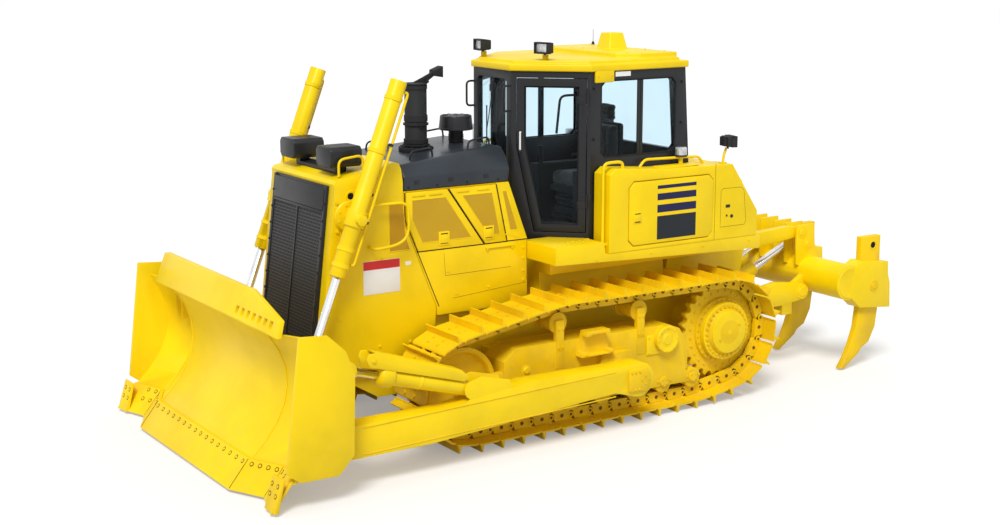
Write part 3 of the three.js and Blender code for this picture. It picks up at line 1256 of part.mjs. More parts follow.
function ripperBarrel() {
  const base = [RIPPER_CYL_X, RIPPER_CYL_BASE.y, RIPPER_CYL_BASE.z];
  const gland = along(RIPPER_CYL_X, RIPPER_CYL_BASE, RIPPER_ROD_EYE, RIPPER_GLAND);
  return cut(join(bar(base, gland, RIPPER_BORE / 2, 16),
    axle(RIPPER_CYL_X - EYE_HALF, RIPPER_CYL_X + EYE_HALF, RIPPER_CYL_BASE.y,
      RIPPER_CYL_BASE.z, EYE_R, 16)),
  boreAlong(base, gland, RIPPER_ROD / 2, 16));
}

function ripperRod() {
  const span = spanOf(RIPPER_CYL_BASE, RIPPER_ROD_EYE);
  const start = along(RIPPER_CYL_X, RIPPER_CYL_BASE, RIPPER_ROD_EYE, span - 800);
  return join(bar(start, [RIPPER_CYL_X, RIPPER_ROD_EYE.y, RIPPER_ROD_EYE.z], RIPPER_ROD / 2, 16),
    axle(RIPPER_CYL_X - EYE_HALF, RIPPER_CYL_X + EYE_HALF, RIPPER_ROD_EYE.y,
      RIPPER_ROD_EYE.z, 48, 16));
}

// ---- what moves ------------------------------------------------------------------------------------
function addBlade() {
  const lift = pivot("blade_lift_pivot", machine, 0, ARM_PIVOT.y, ARM_PIVOT.z);
  place(lift, "diagonal_brace", diagonalBrace(), YELLOW);
  const tilt = pivot("blade_tilt_pivot", lift, 0, BEAM_BACK, TILT_AXIS_Z);
  place(tilt, "blade", bladeBody(), YELLOW);
  place(tilt, "cutting_edge", cuttingEdge(), YELLOW);
  for (const [name, side, arm] of [["left", 1, leftArm()], ["right", -1, rightArm()]]) {
    const ball = pivot(`push_arm_${name}_pivot`, tilt, side * ARM_X, ARM_BALL.y, ARM_BALL.z);
    place(ball, `push_arm_${name}`, arm, YELLOW);
    if (name === "left") addTiltCylinder(ball);
  }
}

function addTiltCylinder(arm) {
  const base = pivot("tilt_cylinder_pivot", arm, ARM_X, TILT_BASE.y, TILT_BASE.z);
  place(base, "tilt_cylinder", tiltCylinder(), YELLOW);
  const slide = pivot("tilt_rod_slide", base, ARM_X, TILT_EYE.y, TILT_EYE.z);
  place(slide, "tilt_rod", tiltRod(), CHROME);
}

/** A pair of cylinders: barrels that swing at one point, and the rods that slide in them. */
function addCylinders(name, x, base, eye, barrelBody, rodBody) {
  for (const [label, side] of [["left", 1], ["right", -1]]) {
    const onSide = (body) => (side > 0 ? body : mirrored(body));
    const swing = pivot(`${name}_cylinder_${label}_pivot`, machine, side * x, base.y, base.z);
    place(swing, `${name}_cylinder_${label}`, onSide(barrelBody), YELLOW);
    const slide = pivot(`${name}_rod_${label}_slide`, swing, side * x, eye.y, eye.z);
    place(slide, `${name}_rod_${label}`, onSide(rodBody), CHROME);
  }
}

function addRipper() {
  const { y, z } = RIPPER_ARM_BASE;
  const arm = pivot("ripper_arm_pivot", machine, 0, y, z);
  place(arm, "ripper_arm", ripperArm(), YELLOW);
  const beam = pivot("ripper_beam_pivot", arm, 0, RIPPER_ARM_TIP.y, RIPPER_ARM_TIP.z);
  place(beam, "ripper_beam", ripperBeam(), YELLOW);
  for (const [i, x] of SHANK_X.entries()) {
    place(beam, `ripper_shank_${["right", "middle", "left"][i]}`, ripperShank(x), YELLOW);
  }
  const link = pivot("ripper_link_pivot", machine, 0, RIPPER_LINK_BASE.y, RIPPER_LINK_BASE.z);
  place(link, "ripper_link", ripperLink(), YELLOW);
}

addUndercarriage();
place(machine, "hull", hull(), YELLOW);
addHood();
addCab();
addConsoles();
addBlade();
addCylinders("lift", LIFT_X, LIFT_TRUNNION, LIFT_EYE, liftBarrel(), liftRod());
addCylinders("ripper", RIPPER_CYL_X, RIPPER_CYL_BASE, RIPPER_ROD_EYE, ripperBarrel(), ripperRod());
addRipper();

// The part stands with its origin below the middle of its box.
const outline = new THREE.Box3().setFromObject(machine, true);
machine.position.y = -(outline.min.y + outline.max.y) / 2;

export default machine;
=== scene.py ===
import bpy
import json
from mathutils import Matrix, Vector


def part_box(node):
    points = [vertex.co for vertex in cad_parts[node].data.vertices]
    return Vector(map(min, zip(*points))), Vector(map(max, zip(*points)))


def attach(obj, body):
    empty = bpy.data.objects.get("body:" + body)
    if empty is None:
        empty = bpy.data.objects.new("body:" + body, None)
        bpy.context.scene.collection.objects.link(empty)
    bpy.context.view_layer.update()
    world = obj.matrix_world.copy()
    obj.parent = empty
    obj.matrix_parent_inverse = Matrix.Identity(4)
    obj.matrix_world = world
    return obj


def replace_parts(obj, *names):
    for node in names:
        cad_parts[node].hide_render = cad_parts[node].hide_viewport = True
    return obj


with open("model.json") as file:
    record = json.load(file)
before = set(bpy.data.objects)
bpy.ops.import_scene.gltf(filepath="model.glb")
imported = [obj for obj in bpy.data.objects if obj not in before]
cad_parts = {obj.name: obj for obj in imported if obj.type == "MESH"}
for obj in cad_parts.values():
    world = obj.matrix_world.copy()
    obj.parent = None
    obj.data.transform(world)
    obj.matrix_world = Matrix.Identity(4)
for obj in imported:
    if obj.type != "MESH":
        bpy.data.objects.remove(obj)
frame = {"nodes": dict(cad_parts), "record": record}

"""Looks of a crawler bulldozer with a folded blade and a three-shank ripper.

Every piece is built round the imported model. Places are given as a point's distance to the
left, its distance behind the front-most track shoe on the ground, and its height, in metres.
"""

import json
import logging
import math
from dataclasses import dataclass
from enum import Enum
from typing import Iterable, Sequence

import bmesh
import bpy
from mathutils import Matrix, Vector
from mathutils.bvhtree import BVHTree

log = logging.getLogger("bulldozer")

CONSOLE_FRONT = 1.6                    # the side box starts this far behind the first shoe
ORIGIN_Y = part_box("console_left")[0].y - CONSOLE_FRONT
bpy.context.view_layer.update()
SMOOTH_ANGLE = math.radians(32)

Point = tuple[float, float, float]
Outline = Sequence[tuple[float, float]]
Socket = bpy.types.NodeSocket
Value = "Socket | float | None"


def at(x: float, back: float, z: float) -> Vector:
    """A place on the machine in the frame's own coordinates."""
    return Vector((x, ORIGIN_Y + back, z))


class Slot(Enum):
    """The record's material slots."""

    YELLOW = "yellow_paint"
    TRACK = "track_steel"
    CHROME = "chrome_rod"
    BLACK = "black_paint"
    COVER = "cover_paint"
    GLASS = "tinted_glass"
    IRON = "engine_iron"
    FABRIC = "seat_fabric"
    TRIM = "trim_plastic"


# ---- effects that several materials share ------------------------------------------------
def new_group(name: str, inputs: dict[str, float], outputs: dict[str, str]) -> tuple:
    """An empty shader group with float inputs and a Vector input.

    Args:
        name: The group's name.
        inputs: Float inputs and their defaults.
        outputs: Output names and their socket types.

    Returns:
        The group, its input node and its output node.
    """
    group = bpy.data.node_groups.new(name, "ShaderNodeTree")
    face = group.interface
    face.new_socket("Vector", in_out="INPUT", socket_type="NodeSocketVector")
    for label, value in inputs.items():
        socket = face.new_socket(label, in_out="INPUT", socket_type="NodeSocketFloat")
        socket.default_value = value
    for label, kind in outputs.items():
        face.new_socket(label, in_out="OUTPUT", socket_type=kind)
    return group, group.nodes.new("NodeGroupInput"), group.nodes.new("NodeGroupOutput")


def math_node(tree: bpy.types.NodeTree, kind: str, a: Value, b: Value = None,
              clamp: bool = False) -> Socket:
    """Adds a Math node whose inputs are sockets or numbers, and returns its output."""
    node = tree.nodes.new("ShaderNodeMath")
    node.operation = kind
    node.use_clamp = clamp
    for index, value in enumerate((a, b)):
        if isinstance(value, (int, float)):
            node.inputs[index].default_value = value
        elif value is not None:
            tree.links.new(value, node.inputs[index])
    return node.outputs[0]


def noise(tree: bpy.types.NodeTree, vector: Socket, scale: Value, detail: float = 4.0,
          rough: float = 0.55) -> Socket:
    """Adds a noise texture and returns its value output."""
    node = tree.nodes.new("ShaderNodeTexNoise")
    node.inputs["Detail"].default_value = detail
    node.inputs["Roughness"].default_value = rough
    if isinstance(scale, (int, float)):
        node.inputs["Scale"].default_value = scale
    else:
        tree.links.new(scale, node.inputs["Scale"])
    tree.links.new(vector, node.inputs["Vector"])
    return node.outputs[0]


def ramp(tree: bpy.types.NodeTree, value: Socket, low: float, high: float) -> Socket:
    """A smooth step of a value between two limits."""
    node = tree.nodes.new("ShaderNodeMapRange")
    node.interpolation_type = "SMOOTHSTEP"
    node.inputs["From Min"].default_value = low
    node.inputs["From Max"].default_value = high
    tree.links.new(value, node.inputs["Value"])
    return node.outputs[0]


def mottle_group() -> bpy.types.NodeTree:
    """Slow cloudy change over a painted surface."""
    group, source, sink = new_group("Mottle", {"Scale": 2.0, "Amount": 0.5},
                                    {"Mask": "NodeSocketFloat"})
    value = noise(group, source.outputs["Vector"], source.outputs["Scale"])
    spread = ramp(group, value, 0.38, 0.68)
    group.links.new(math_node(group, "MULTIPLY", spread, source.outputs["Amount"]),
                    sink.inputs["Mask"])
    return group


def dust_group() -> bpy.types.NodeTree:
    """Dry dust that thins out with height above the ground."""
    group, source, sink = new_group("Dust", {"Height": 0.8, "Amount": 0.4},
                                    {"Mask": "NodeSocketFloat"})
    split = group.nodes.new("ShaderNodeSeparateXYZ")
    group.links.new(source.outputs["Vector"], split.inputs[0])
    share = math_node(group, "DIVIDE", split.outputs["Z"], source.outputs["Height"])
    fade = math_node(group, "SUBTRACT", 1.0, share, clamp=True)
    grit = ramp(group, noise(group, source.outputs["Vector"], 9.0, 7.0, 0.65), 0.35, 0.75)
    mask = math_node(group, "MULTIPLY", fade, grit)
    group.links.new(math_node(group, "MULTIPLY", mask, source.outputs["Amount"]),
                    sink.inputs["Mask"])
    return group


def grain_group() -> bpy.types.NodeTree:
    """Fine relief: the skin of sprayed paint, a casting or moulded plastic."""
    group, source, sink = new_group("Grain", {"Scale": 160.0, "Depth": 1.0},
                                    {"Height": "NodeSocketFloat"})
    fine = noise(group, source.outputs["Vector"], source.outputs["Scale"], 2.0)
    broad = noise(group, source.outputs["Vector"], 3.0, 2.0)
    both = math_node(group, "ADD", fine, math_node(group, "MULTIPLY", broad, 2.5))
    group.links.new(math_node(group, "MULTIPLY", both, source.outputs["Depth"]),
                    sink.inputs["Height"])
    return group


def wear_group() -> bpy.types.NodeTree:
    """Rubbed patches, broken up by two sizes of noise."""
    group, source, sink = new_group("Wear", {"Scale": 5.0, "Amount": 0.5},
                                    {"Mask": "NodeSocketFloat"})
    patches = ramp(group, noise(group, source.outputs["Vector"], source.outputs["Scale"], 6.0),
                   0.5, 0.66)
    scratches = ramp(group, noise(group, source.outputs["Vector"], 45.0, 4.0, 0.7), 0.42, 0.6)
    mask = math_node(group, "MULTIPLY", patches, scratches)
    group.links.new(math_node(group, "MULTIPLY", mask, source.outputs["Amount"]),
                    sink.inputs["Mask"])
    return group


def holes_group() -> bpy.types.NodeTree:
    """Round holes in staggered rows, drawn on the X and Y of the vector."""
    group, source, sink = new_group("Holes", {"Pitch": 0.02, "Radius": 0.33},
                                    {"Mask": "NodeSocketFloat"})
    split = group.nodes.new("ShaderNodeSeparateXYZ")
    group.links.new(source.outputs["Vector"], split.inputs[0])
    pitch = source.outputs["Pitch"]
    row = math_node(group, "DIVIDE", split.outputs["Y"], pitch)
    odd = math_node(group, "MULTIPLY", math_node(group, "MODULO", math_node(
        group, "FLOOR", math_node(group, "ADD", row, 4000.0)), 2.0), 0.5)
    across = math_node(group, "ADD", math_node(group, "DIVIDE", split.outputs["X"], pitch), odd)
    parts = []
    for value in (across, row):
        cell = math_node(group, "FRACT", math_node(group, "ADD", value, 4000.0))
        away = math_node(group, "SUBTRACT", cell, 0.5)
        parts.append(math_node(group, "MULTIPLY", away, away))
    far = math_node(group, "SQRT", math_node(group, "ADD", *parts))
    edge = math_node(group, "SUBTRACT", source.outputs["Radius"], far)
    mask = math_node(group, "MULTIPLY", edge, 14.0, clamp=True)
    group.links.new(mask, sink.inputs["Mask"])
    return group


GROUPS = {"Holes": holes_group(), "Mottle": mottle_group(), "Dust": dust_group(),
          "Grain": grain_group(), "Wear": wear_group()}


class Surface:
    """A material under construction, with its Principled shader and Object coordinates."""

    def __init__(self, name: str) -> None:
        """Starts a material with an empty Principled shader.

        Args:
            name: The material's name.
        """
        self.material = bpy.data.materials.new(name)
        self.material.use_nodes = True
        self.tree = self.material.node_tree
        self.shader = self.tree.nodes["Principled BSDF"]
        self.place = self.tree.nodes.new("ShaderNodeTexCoord").outputs["Object"]

    def set(self, **values: float | tuple) -> None:
        """Sets plain values on the shader; an underscore stands for a space."""
        for label, value in values.items():
            self.shader.inputs[label.replace("_", " ")].default_value = value

    def effect(self, group: str, output: str, **values: float) -> Socket:
        """Places a shared group and returns one of its outputs."""
        node = self.tree.nodes.new("ShaderNodeGroup")
        node.node_tree = GROUPS[group]
        self.tree.links.new(self.place, node.inputs["Vector"])
        for label, value in values.items():
            node.inputs[label].default_value = value
        return node.outputs[output]

    def blend(self, mask: Socket, below: "Socket | tuple", above: "Socket | tuple") -> Socket:
        """Mixes two colours, given as tuples or sockets, by a mask."""
        node = self.tree.nodes.new("ShaderNodeMix")
        node.data_type = "RGBA"
        self.tree.links.new(mask, node.inputs["Factor"])
        for label, value in (("A", below), ("B", above)):
            socket = [s for s in node.inputs if s.name == label and s.type == "RGBA"][0]
            if isinstance(value, tuple):
                socket.default_value = (*value, 1.0)
            else:
                self.tree.links.new(value, socket)
        return [s for s in node.outputs if s.type == "RGBA"][0]

    def feed(self, label: str, socket) -> None:
        """Links a socket to an input of the shader."""
        self.tree.links.new(socket, self.shader.inputs[label])

    def span(self, mask: Socket, low: float, high: float) -> Socket:
        """A value that runs from low to high with a mask."""
        return math_node(self.tree, "ADD", math_node(self.tree, "MULTIPLY", mask, high - low), low)

    def relief(self, height, distance: float) -> None:
        """Adds a bump to the shader's normal.

        Args:
            height: The height's socket.
            distance: How deep the relief is, in metres.
        """
        bump = self.tree.nodes.new("ShaderNodeBump")
        bump.inputs["Distance"].default_value = distance
        bump.inputs["Strength"].default_value = 0.6
        self.tree.links.new(height, bump.inputs["Height"])
        self.tree.links.new(bump.outputs[0], self.shader.inputs["Normal"])


# ---- finishes ----------------------------------------------------------------------------
@dataclass(frozen=True)
class Paint:
    """Sprayed enamel with faint clouding, dust near the ground and rubbed patches."""

    name: str
    colour: Point
    slot: Slot
    roughness: float = 0.42
    cloud: float = 0.10
    dust: float = 0.08
    dust_height: float = 1.1
    wear: float = 0.0
    worn: Point = (0.19, 0.16, 0.13)
    grain: float = 160.0
    relief: float = 0.0006
    coat: float = 0.06
    shine: float = 0.25

    def material(self) -> bpy.types.Material:
        """Builds the material."""
        surface = Surface(self.name)
        shade = tuple(c * 0.74 for c in self.colour)
        cloud = surface.effect("Mottle", "Mask", Scale=1.7, Amount=self.cloud * 4)
        colour = surface.blend(cloud, self.colour, shade)
        dust = surface.effect("Dust", "Mask", Height=self.dust_height, Amount=self.dust)
        colour = surface.blend(dust, colour, (0.36, 0.27, 0.16))
        rough = surface.span(cloud, self.roughness, self.roughness + 0.12)
        if self.wear:
            rub = surface.effect("Wear", "Mask", Scale=6.0, Amount=self.wear)
            colour = surface.blend(rub, colour, self.worn)
            surface.feed("Metallic", surface.span(rub, 0.0, 0.75))
        surface.feed("Base Color", colour)
        surface.feed("Roughness", rough)
        surface.set(Coat_Weight=self.coat, Coat_Roughness=0.18, Specular_IOR_Level=self.shine)
        height = surface.effect("Grain", "Height", Scale=self.grain, Depth=1.0)
        surface.relief(height, self.relief)
        return surface.material


@dataclass(frozen=True)
class Metal:
    """Bare ground or rolled steel with turning marks and haze."""

    name: str
    colour: Point
    slot: Slot
    roughness: float = 0.12
    haze: float = 0.2
    grain: float = 300.0

    def material(self) -> bpy.types.Material:
        """Builds the material."""
        surface = Surface(self.name)
        cloud = surface.effect("Mottle", "Mask", Scale=4.0, Amount=1.0)
        dull = tuple(c * 0.78 for c in self.colour)
        surface.feed("Base Color", surface.blend(cloud, self.colour, dull))
        surface.feed("Roughness", surface.span(cloud, self.roughness, self.roughness + self.haze))
        surface.set(Metallic=1.0)
        surface.relief(surface.effect("Grain", "Height", Scale=self.grain, Depth=0.4), 0.0002)
        return surface.material


@dataclass(frozen=True)
class Pane:
    """Window glass, faintly tinted, with a faint cloudy trace of dust."""

    name: str
    colour: Point
    slot: Slot = Slot.GLASS

    def material(self) -> bpy.types.Material:
        """Builds the material."""
        surface = Surface(self.name)
        film = surface.effect("Mottle", "Mask", Scale=3.0, Amount=0.6)
        clear = tuple(min(1.0, c * 1.04) for c in self.colour)
        surface.feed("Base Color", surface.blend(film, clear, self.colour))
        surface.feed("Roughness", surface.span(film, 0.0, 0.05))
        surface.set(Metallic=0.0, Transmission_Weight=1.0, IOR=1.12)
        return surface.material


@dataclass(frozen=True)
class Weave:
    """Woven seat cloth: two crossed sets of ribs with a soft sheen."""

    name: str
    colour: Point
    slot: Slot = Slot.FABRIC
    pitch: float = 190.0

    def material(self) -> bpy.types.Material:
        """Builds the material."""
        surface = Surface(self.name)
        tree = surface.tree
        split = tree.nodes.new("ShaderNodeSeparateXYZ")
        tree.links.new(surface.place, split.inputs[0])
        waves = []
        for axis in ("X", "Z"):
            turned = math_node(tree, "MULTIPLY", split.outputs[axis], self.pitch * math.tau)
            waves.append(math_node(tree, "SINE", turned))
        weave = math_node(tree, "MULTIPLY", *waves)
        cloud = surface.effect("Mottle", "Mask", Scale=14.0, Amount=0.8)
        light = tuple(c * 1.7 for c in self.colour)
        surface.feed("Base Color", surface.blend(cloud, self.colour, light))
        surface.set(Roughness=0.92, Sheen_Weight=0.3, Sheen_Roughness=0.5)
        surface.relief(weave, 0.0008)
        return surface.material


@dataclass(frozen=True)
class Perforated:
    """Painted sheet with rows of small holes; the holes' dark colour is painted shade of the inside
    behind them.
    """

    name: str
    colour: Point
    # Colour of the holes: painted shade of the inside seen through them.
    dark: Point
    slot: Slot
    pitch: float = 0.016
    radius: float = 0.33
    across: str = "Y"                   # the horizontal axis that the rows run along
    roughness: float = 0.5

    def material(self) -> bpy.types.Material:
        """Builds the material."""
        surface = Surface(self.name)
        tree = surface.tree
        split = tree.nodes.new("ShaderNodeSeparateXYZ")
        tree.links.new(surface.place, split.inputs[0])
        flat = tree.nodes.new("ShaderNodeCombineXYZ")
        tree.links.new(split.outputs[self.across], flat.inputs["X"])
        tree.links.new(split.outputs["Z"], flat.inputs["Y"])
        holes = tree.nodes.new("ShaderNodeGroup")
        holes.node_tree = GROUPS["Holes"]
        holes.inputs["Pitch"].default_value = self.pitch
        holes.inputs["Radius"].default_value = self.radius
        tree.links.new(flat.outputs[0], holes.inputs["Vector"])
        cloud = surface.effect("Mottle", "Mask", Scale=2.5, Amount=0.5)
        sheet = surface.blend(cloud, self.colour, tuple(c * 0.85 for c in self.colour))
        surface.feed("Base Color", surface.blend(holes.outputs["Mask"], sheet, self.dark))
        surface.feed("Roughness", surface.span(holes.outputs["Mask"], self.roughness, 0.9))
        drop = math_node(tree, "SUBTRACT", 1.0, holes.outputs["Mask"])
        surface.relief(drop, 0.001)
        return surface.material


@dataclass(frozen=True)
class Lens:
    """A lamp's moulded glass, silvered behind, with upright flutes."""

    name: str
    colour: Point
    slot: Slot = Slot.CHROME

    def material(self) -> bpy.types.Material:
        """Builds the material."""
        surface = Surface(self.name)
        tree = surface.tree
        split = tree.nodes.new("ShaderNodeSeparateXYZ")
        tree.links.new(surface.place, split.inputs[0])
        flute = math_node(tree, "SINE", math_node(tree, "MULTIPLY", split.outputs["X"], 420.0))
        cloud = surface.effect("Mottle", "Mask", Scale=12.0, Amount=1.0)
        surface.feed("Base Color", surface.blend(cloud, self.colour,
                                                 tuple(c * 0.6 for c in self.colour)))
        surface.set(Metallic=0.7, Roughness=0.15, Coat_Weight=1.0)
        surface.relief(flute, 0.0012)
        return surface.material


YELLOW = Paint("yellow enamel", (0.90, 0.635, 0.0), Slot.YELLOW)
TRACK_YELLOW = Paint("track enamel", (0.86, 0.565, 0.0), Slot.TRACK, roughness=0.5, cloud=0.16,
                     dust=0.16, dust_height=1.7, wear=0.04, grain=90.0, relief=0.0012, coat=0.0)
# Dark ochre for the flat, recessed vent plate: painted shade from the inside seen through a mesh.
MESH_OCHRE = Paint("vent mesh shade ochre", (0.50, 0.27, 0.004), Slot.YELLOW, roughness=0.5, coat=0.1)
EDGE_YELLOW = Paint("cutting edge enamel", (0.88, 0.60, 0.0), Slot.TRACK, roughness=0.45,
                    wear=0.03, dust=0.08, grain=70.0, relief=0.001, coat=0.0)
BLACK = Paint("black enamel", (0.012, 0.013, 0.015), Slot.BLACK, roughness=0.42, cloud=0.2,
              dust=0.05, coat=0.2)
HOOD_BLACK = Paint("hood cover enamel", (0.020, 0.027, 0.036), Slot.COVER, roughness=0.38,
                   cloud=0.25, dust=0.04, coat=0.3)
EXHAUST_BLACK = Paint("heat-proof black", (0.016, 0.017, 0.018), Slot.BLACK, roughness=0.62,
                      cloud=0.35, dust=0.02, grain=220.0, relief=0.0009, coat=0.0)
NAVY = Paint("navy film", (0.010, 0.011, 0.060), Slot.COVER, roughness=0.4, coat=0.0)
WHITE = Paint("white film", (0.82, 0.82, 0.80), Slot.TRIM, roughness=0.35, cloud=0.05, coat=0.3)
RED = Paint("red film", (0.60, 0.012, 0.010), Slot.TRIM, roughness=0.35, cloud=0.08, coat=0.3)
RUBBER = Paint("hose rubber", (0.010, 0.010, 0.011), Slot.BLACK, roughness=0.68, cloud=0.3,
               dust=0.05, grain=260.0, relief=0.0008, coat=0.0)
# Dark ochre put into bores and bolt recesses: painted shade inside them.
BORE_SHADE = Paint("painted bore shade", (0.16, 0.085, 0.004), Slot.TRACK, roughness=0.9, coat=0.0)
# Flat black put into gaps, slots and holes: painted shade where their insides fall in shadow.
SHADOW = Paint("painted shade black", (0.006, 0.006, 0.006), Slot.BLACK, roughness=0.9, coat=0.0)
CAST = Paint("painted casting", (0.085, 0.078, 0.070), Slot.IRON, roughness=0.65, cloud=0.4,
             dust=0.1, grain=60.0, relief=0.002, coat=0.0)
TRIM = Paint("moulded trim", (0.022, 0.022, 0.024), Slot.TRIM, roughness=0.6, grain=380.0,
             relief=0.0007, coat=0.0)
CHROME = Metal("ground chrome", (0.86, 0.87, 0.89), Slot.CHROME)
CLEAR = Pane("cab glass", (0.78, 0.90, 0.955))
LAMP_LENS = Lens("lamp lens", (0.72, 0.74, 0.76))
# The door mesh sheet is a darker ochre than the doors as painted shade from the dark inside seen
# through it; both meshes' hole colours are painted shade.
PANEL_MESH = Perforated("door mesh", (0.66, 0.40, 0.002), (0.30, 0.16, 0.002), Slot.YELLOW,
                        pitch=0.007)
MASK_MESH = Perforated("mask mesh", (0.016, 0.017, 0.019), (0.002, 0.002, 0.002), Slot.BLACK,
                       pitch=0.030, radius=0.40, across="X")
PANEL_BLACK = Paint("panel film", (0.012, 0.016, 0.021), Slot.COVER, roughness=0.4, coat=0.0)
SEAT_CLOTH = Weave("seat cloth", (0.018, 0.018, 0.020))
_made: dict[str, bpy.types.Material] = {}

Finish = Paint | Metal | Pane | Weave | Perforated | Lens


def material_of(finish: Finish) -> bpy.types.Material:
    """The material of a finish, built once."""
    if finish.name not in _made:
        _made[finish.name] = finish.material()
    return _made[finish.name]


_trees: dict[str, BVHTree] = {}


def cast(node: str, start: Vector, way: Vector) -> tuple[Vector, Vector] | None:
    """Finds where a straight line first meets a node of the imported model.

    Args:
        node: The node's name.
        start: The line's start.
        way: Its direction.

    Returns:
        The place and the surface's normal, or None if the line misses.
    """
    if node not in _trees:
        skin = bmesh.new()
        skin.from_mesh(frame["nodes"][node].data)
        _trees[node] = BVHTree.FromBMesh(skin)
        skin.free()
    spot, normal, _, _ = _trees[node].ray_cast(start, way)
    return None if spot is None else (spot, normal)


# ---- mesh work ---------------------------------------------------------------------------
def facing(direction: Vector) -> Matrix:
    """A turn that points the local Z axis along a direction."""
    return direction.normalized().to_track_quat("Z", "Y").to_matrix().to_4x4()


class Piece:
    """A mesh under construction in the frame's own coordinates."""

    def __init__(self, name: str, finish: Finish) -> None:
        """Starts an empty piece.

        Args:
            name: The piece's name.
            finish: The finish that it takes.
        """
        self.name = name
        self.finish = finish
        self.mesh = bmesh.new()

    def block(self, low: Vector, high: Vector, bevel: float = 0.0) -> "Piece":
        """Adds a block between two corners, with its edges bevelled."""
        size = [abs(high[i] - low[i]) for i in range(3)]
        place = Matrix.Translation((low + high) / 2) @ Matrix.Diagonal((*size, 1.0))
        made = bmesh.ops.create_cube(self.mesh, size=1.0, matrix=place)
        if bevel:
            edges = {edge for vert in made["verts"] for edge in vert.link_edges}
            bmesh.ops.bevel(self.mesh, geom=list(edges), offset=bevel, segments=2, profile=0.5,
                            affect="EDGES", material=-1)
        return self

    def rod(self, start: Vector, end: Vector, radius: float, tip: float | None = None,
            sides: int = 20) -> "Piece":
        """Adds a cylinder or cone from one point to another."""
        way = end - start
        place = Matrix.Translation((start + end) / 2) @ facing(way)
        bmesh.ops.create_cone(self.mesh, cap_ends=True, segments=sides, radius1=radius,
                              radius2=radius if tip is None else tip, depth=way.length,
                              matrix=place)
        return self

    def turned(self, centre: Vector, axis: Vector, profile: Outline, sides: int = 32) -> "Piece":
        """Spins a profile of (radius, distance along the axis) points about an axis."""
        place = Matrix.Translation(centre) @ facing(axis)
        verts = [self.mesh.verts.new(place @ Vector((r, 0, h))) for r, h in profile]
        edges = [self.mesh.edges.new(pair) for pair in zip(verts, verts[1:])]
        bmesh.ops.spin(self.mesh, geom=verts + edges, cent=centre,
                       axis=place.to_3x3() @ Vector((0, 0, 1)), angle=math.tau,
                       steps=sides, use_merge=True)
        bmesh.ops.remove_doubles(self.mesh, verts=self.mesh.verts[:], dist=1e-6)
        return self

    def plate(self, corners: Sequence[Vector], through: Vector, bevel: float = 0.0) -> "Piece":
        """Adds a flat outline pushed through by a vector, with its edges bevelled."""
        verts = [self.mesh.verts.new(corner) for corner in corners]
        face = self.mesh.faces.new(verts)
        made = bmesh.ops.extrude_face_region(self.mesh, geom=[face], use_keep_orig=True)
        moved = [item for item in made["geom"] if isinstance(item, bmesh.types.BMVert)]
        bmesh.ops.translate(self.mesh, verts=moved, vec=through)
        faces = {f for vert in verts + moved for f in vert.link_faces}
        bmesh.ops.recalc_face_normals(self.mesh, faces=list(faces))
        if bevel:
            edges = {edge for f in faces for edge in f.edges}
            bmesh.ops.bevel(self.mesh, geom=list(edges), offset=bevel, segments=2, profile=0.5,
                            affect="EDGES", material=-1)
        return self

    def bolt(self, place: Vector, out: Vector, radius: float = 0.014) -> "Piece":
        """Adds a hexagon head on its washer, standing on a face."""
        out = out.normalized()
        self.rod(place - out * radius * 0.2, place + out * radius * 0.25, radius * 1.35, sides=12)
        return self.rod(place, place + out * radius * 0.95, radius, radius * 0.93, sides=6)

    def bolts(self, places: Iterable[Vector], out: Vector, radius: float = 0.014) -> "Piece":
        """Adds a bolt at each place."""
        for place in places:
            self.bolt(place, out, radius)
        return self

    def done(self, body: str = "root") -> bpy.types.Object:
        """Turns the mesh into an object that rides on a body.

        Args:
            body: The body that the piece moves with.

        Returns:
            The object.
        """
        bmesh.ops.recalc_face_normals(self.mesh, faces=self.mesh.faces[:])
        data = bpy.data.meshes.new(self.name)
        self.mesh.to_mesh(data)
        self.mesh.free()
        return settle(self.name, data, self.finish, body)


def settle(name: str, data: bpy.types.Mesh, finish: Finish, body: str) -> bpy.types.Object:
    """Makes a mesh an object with its finish and body."""
    thing = bpy.data.objects.new(name, data)
    bpy.context.scene.collection.objects.link(thing)
    data.materials.clear()
    data.materials.append(material_of(finish))
    data.polygons.foreach_set("use_smooth", [True] * len(data.polygons))
    data.set_sharp_from_angle(angle=SMOOTH_ANGLE)
    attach(thing, body)
    log.info("%s on %s: %d faces", name, body, len(data.polygons))
    return thing


def body_of(node: str) -> str:
    """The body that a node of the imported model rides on."""
    for name, members in frame["record"]["behaviour"]["bodies"].items():
        if node in members:
            return name
    return "root"


def dressed(node: str, finish: Finish, bevel: float = 0.004, name: str = "",
            segments: int = 2) -> bpy.types.Object:
    """Replaces a node by a copy whose triangles are merged and whose edges are rounded.

    Args:
        node: The node that the copy stands for.
        finish: The finish that it takes.
        bevel: Radius of the rounded edges, or 0 for none.
        name: The piece's name, if it isn't made from the node's.
        segments: Faces across a rounded edge.

    Returns:
        The piece.
    """
    copy = bmesh.new()
    copy.from_mesh(frame["nodes"][node].data)
    bmesh.ops.remove_doubles(copy, verts=copy.verts[:], dist=2e-5)
    bmesh.ops.dissolve_limit(copy, angle_limit=math.radians(0.6), verts=copy.verts[:],
                             edges=copy.edges[:])
    if bevel:
        sharp = [edge for edge in copy.edges
                 if edge.is_manifold and edge.calc_face_angle(0.0) > SMOOTH_ANGLE
                 and edge.calc_length() > bevel * 2.2]
        bmesh.ops.bevel(copy, geom=sharp, offset=bevel, segments=segments, profile=0.5,
                        affect="EDGES", clamp_overlap=True, material=-1)
    data = bpy.data.meshes.new(name or f"{node}_shell")
    copy.to_mesh(data)
    copy.free()
    thing = settle(name or f"{node}_shell", data, finish, body_of(node))
    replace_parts(thing, node)
    return thing


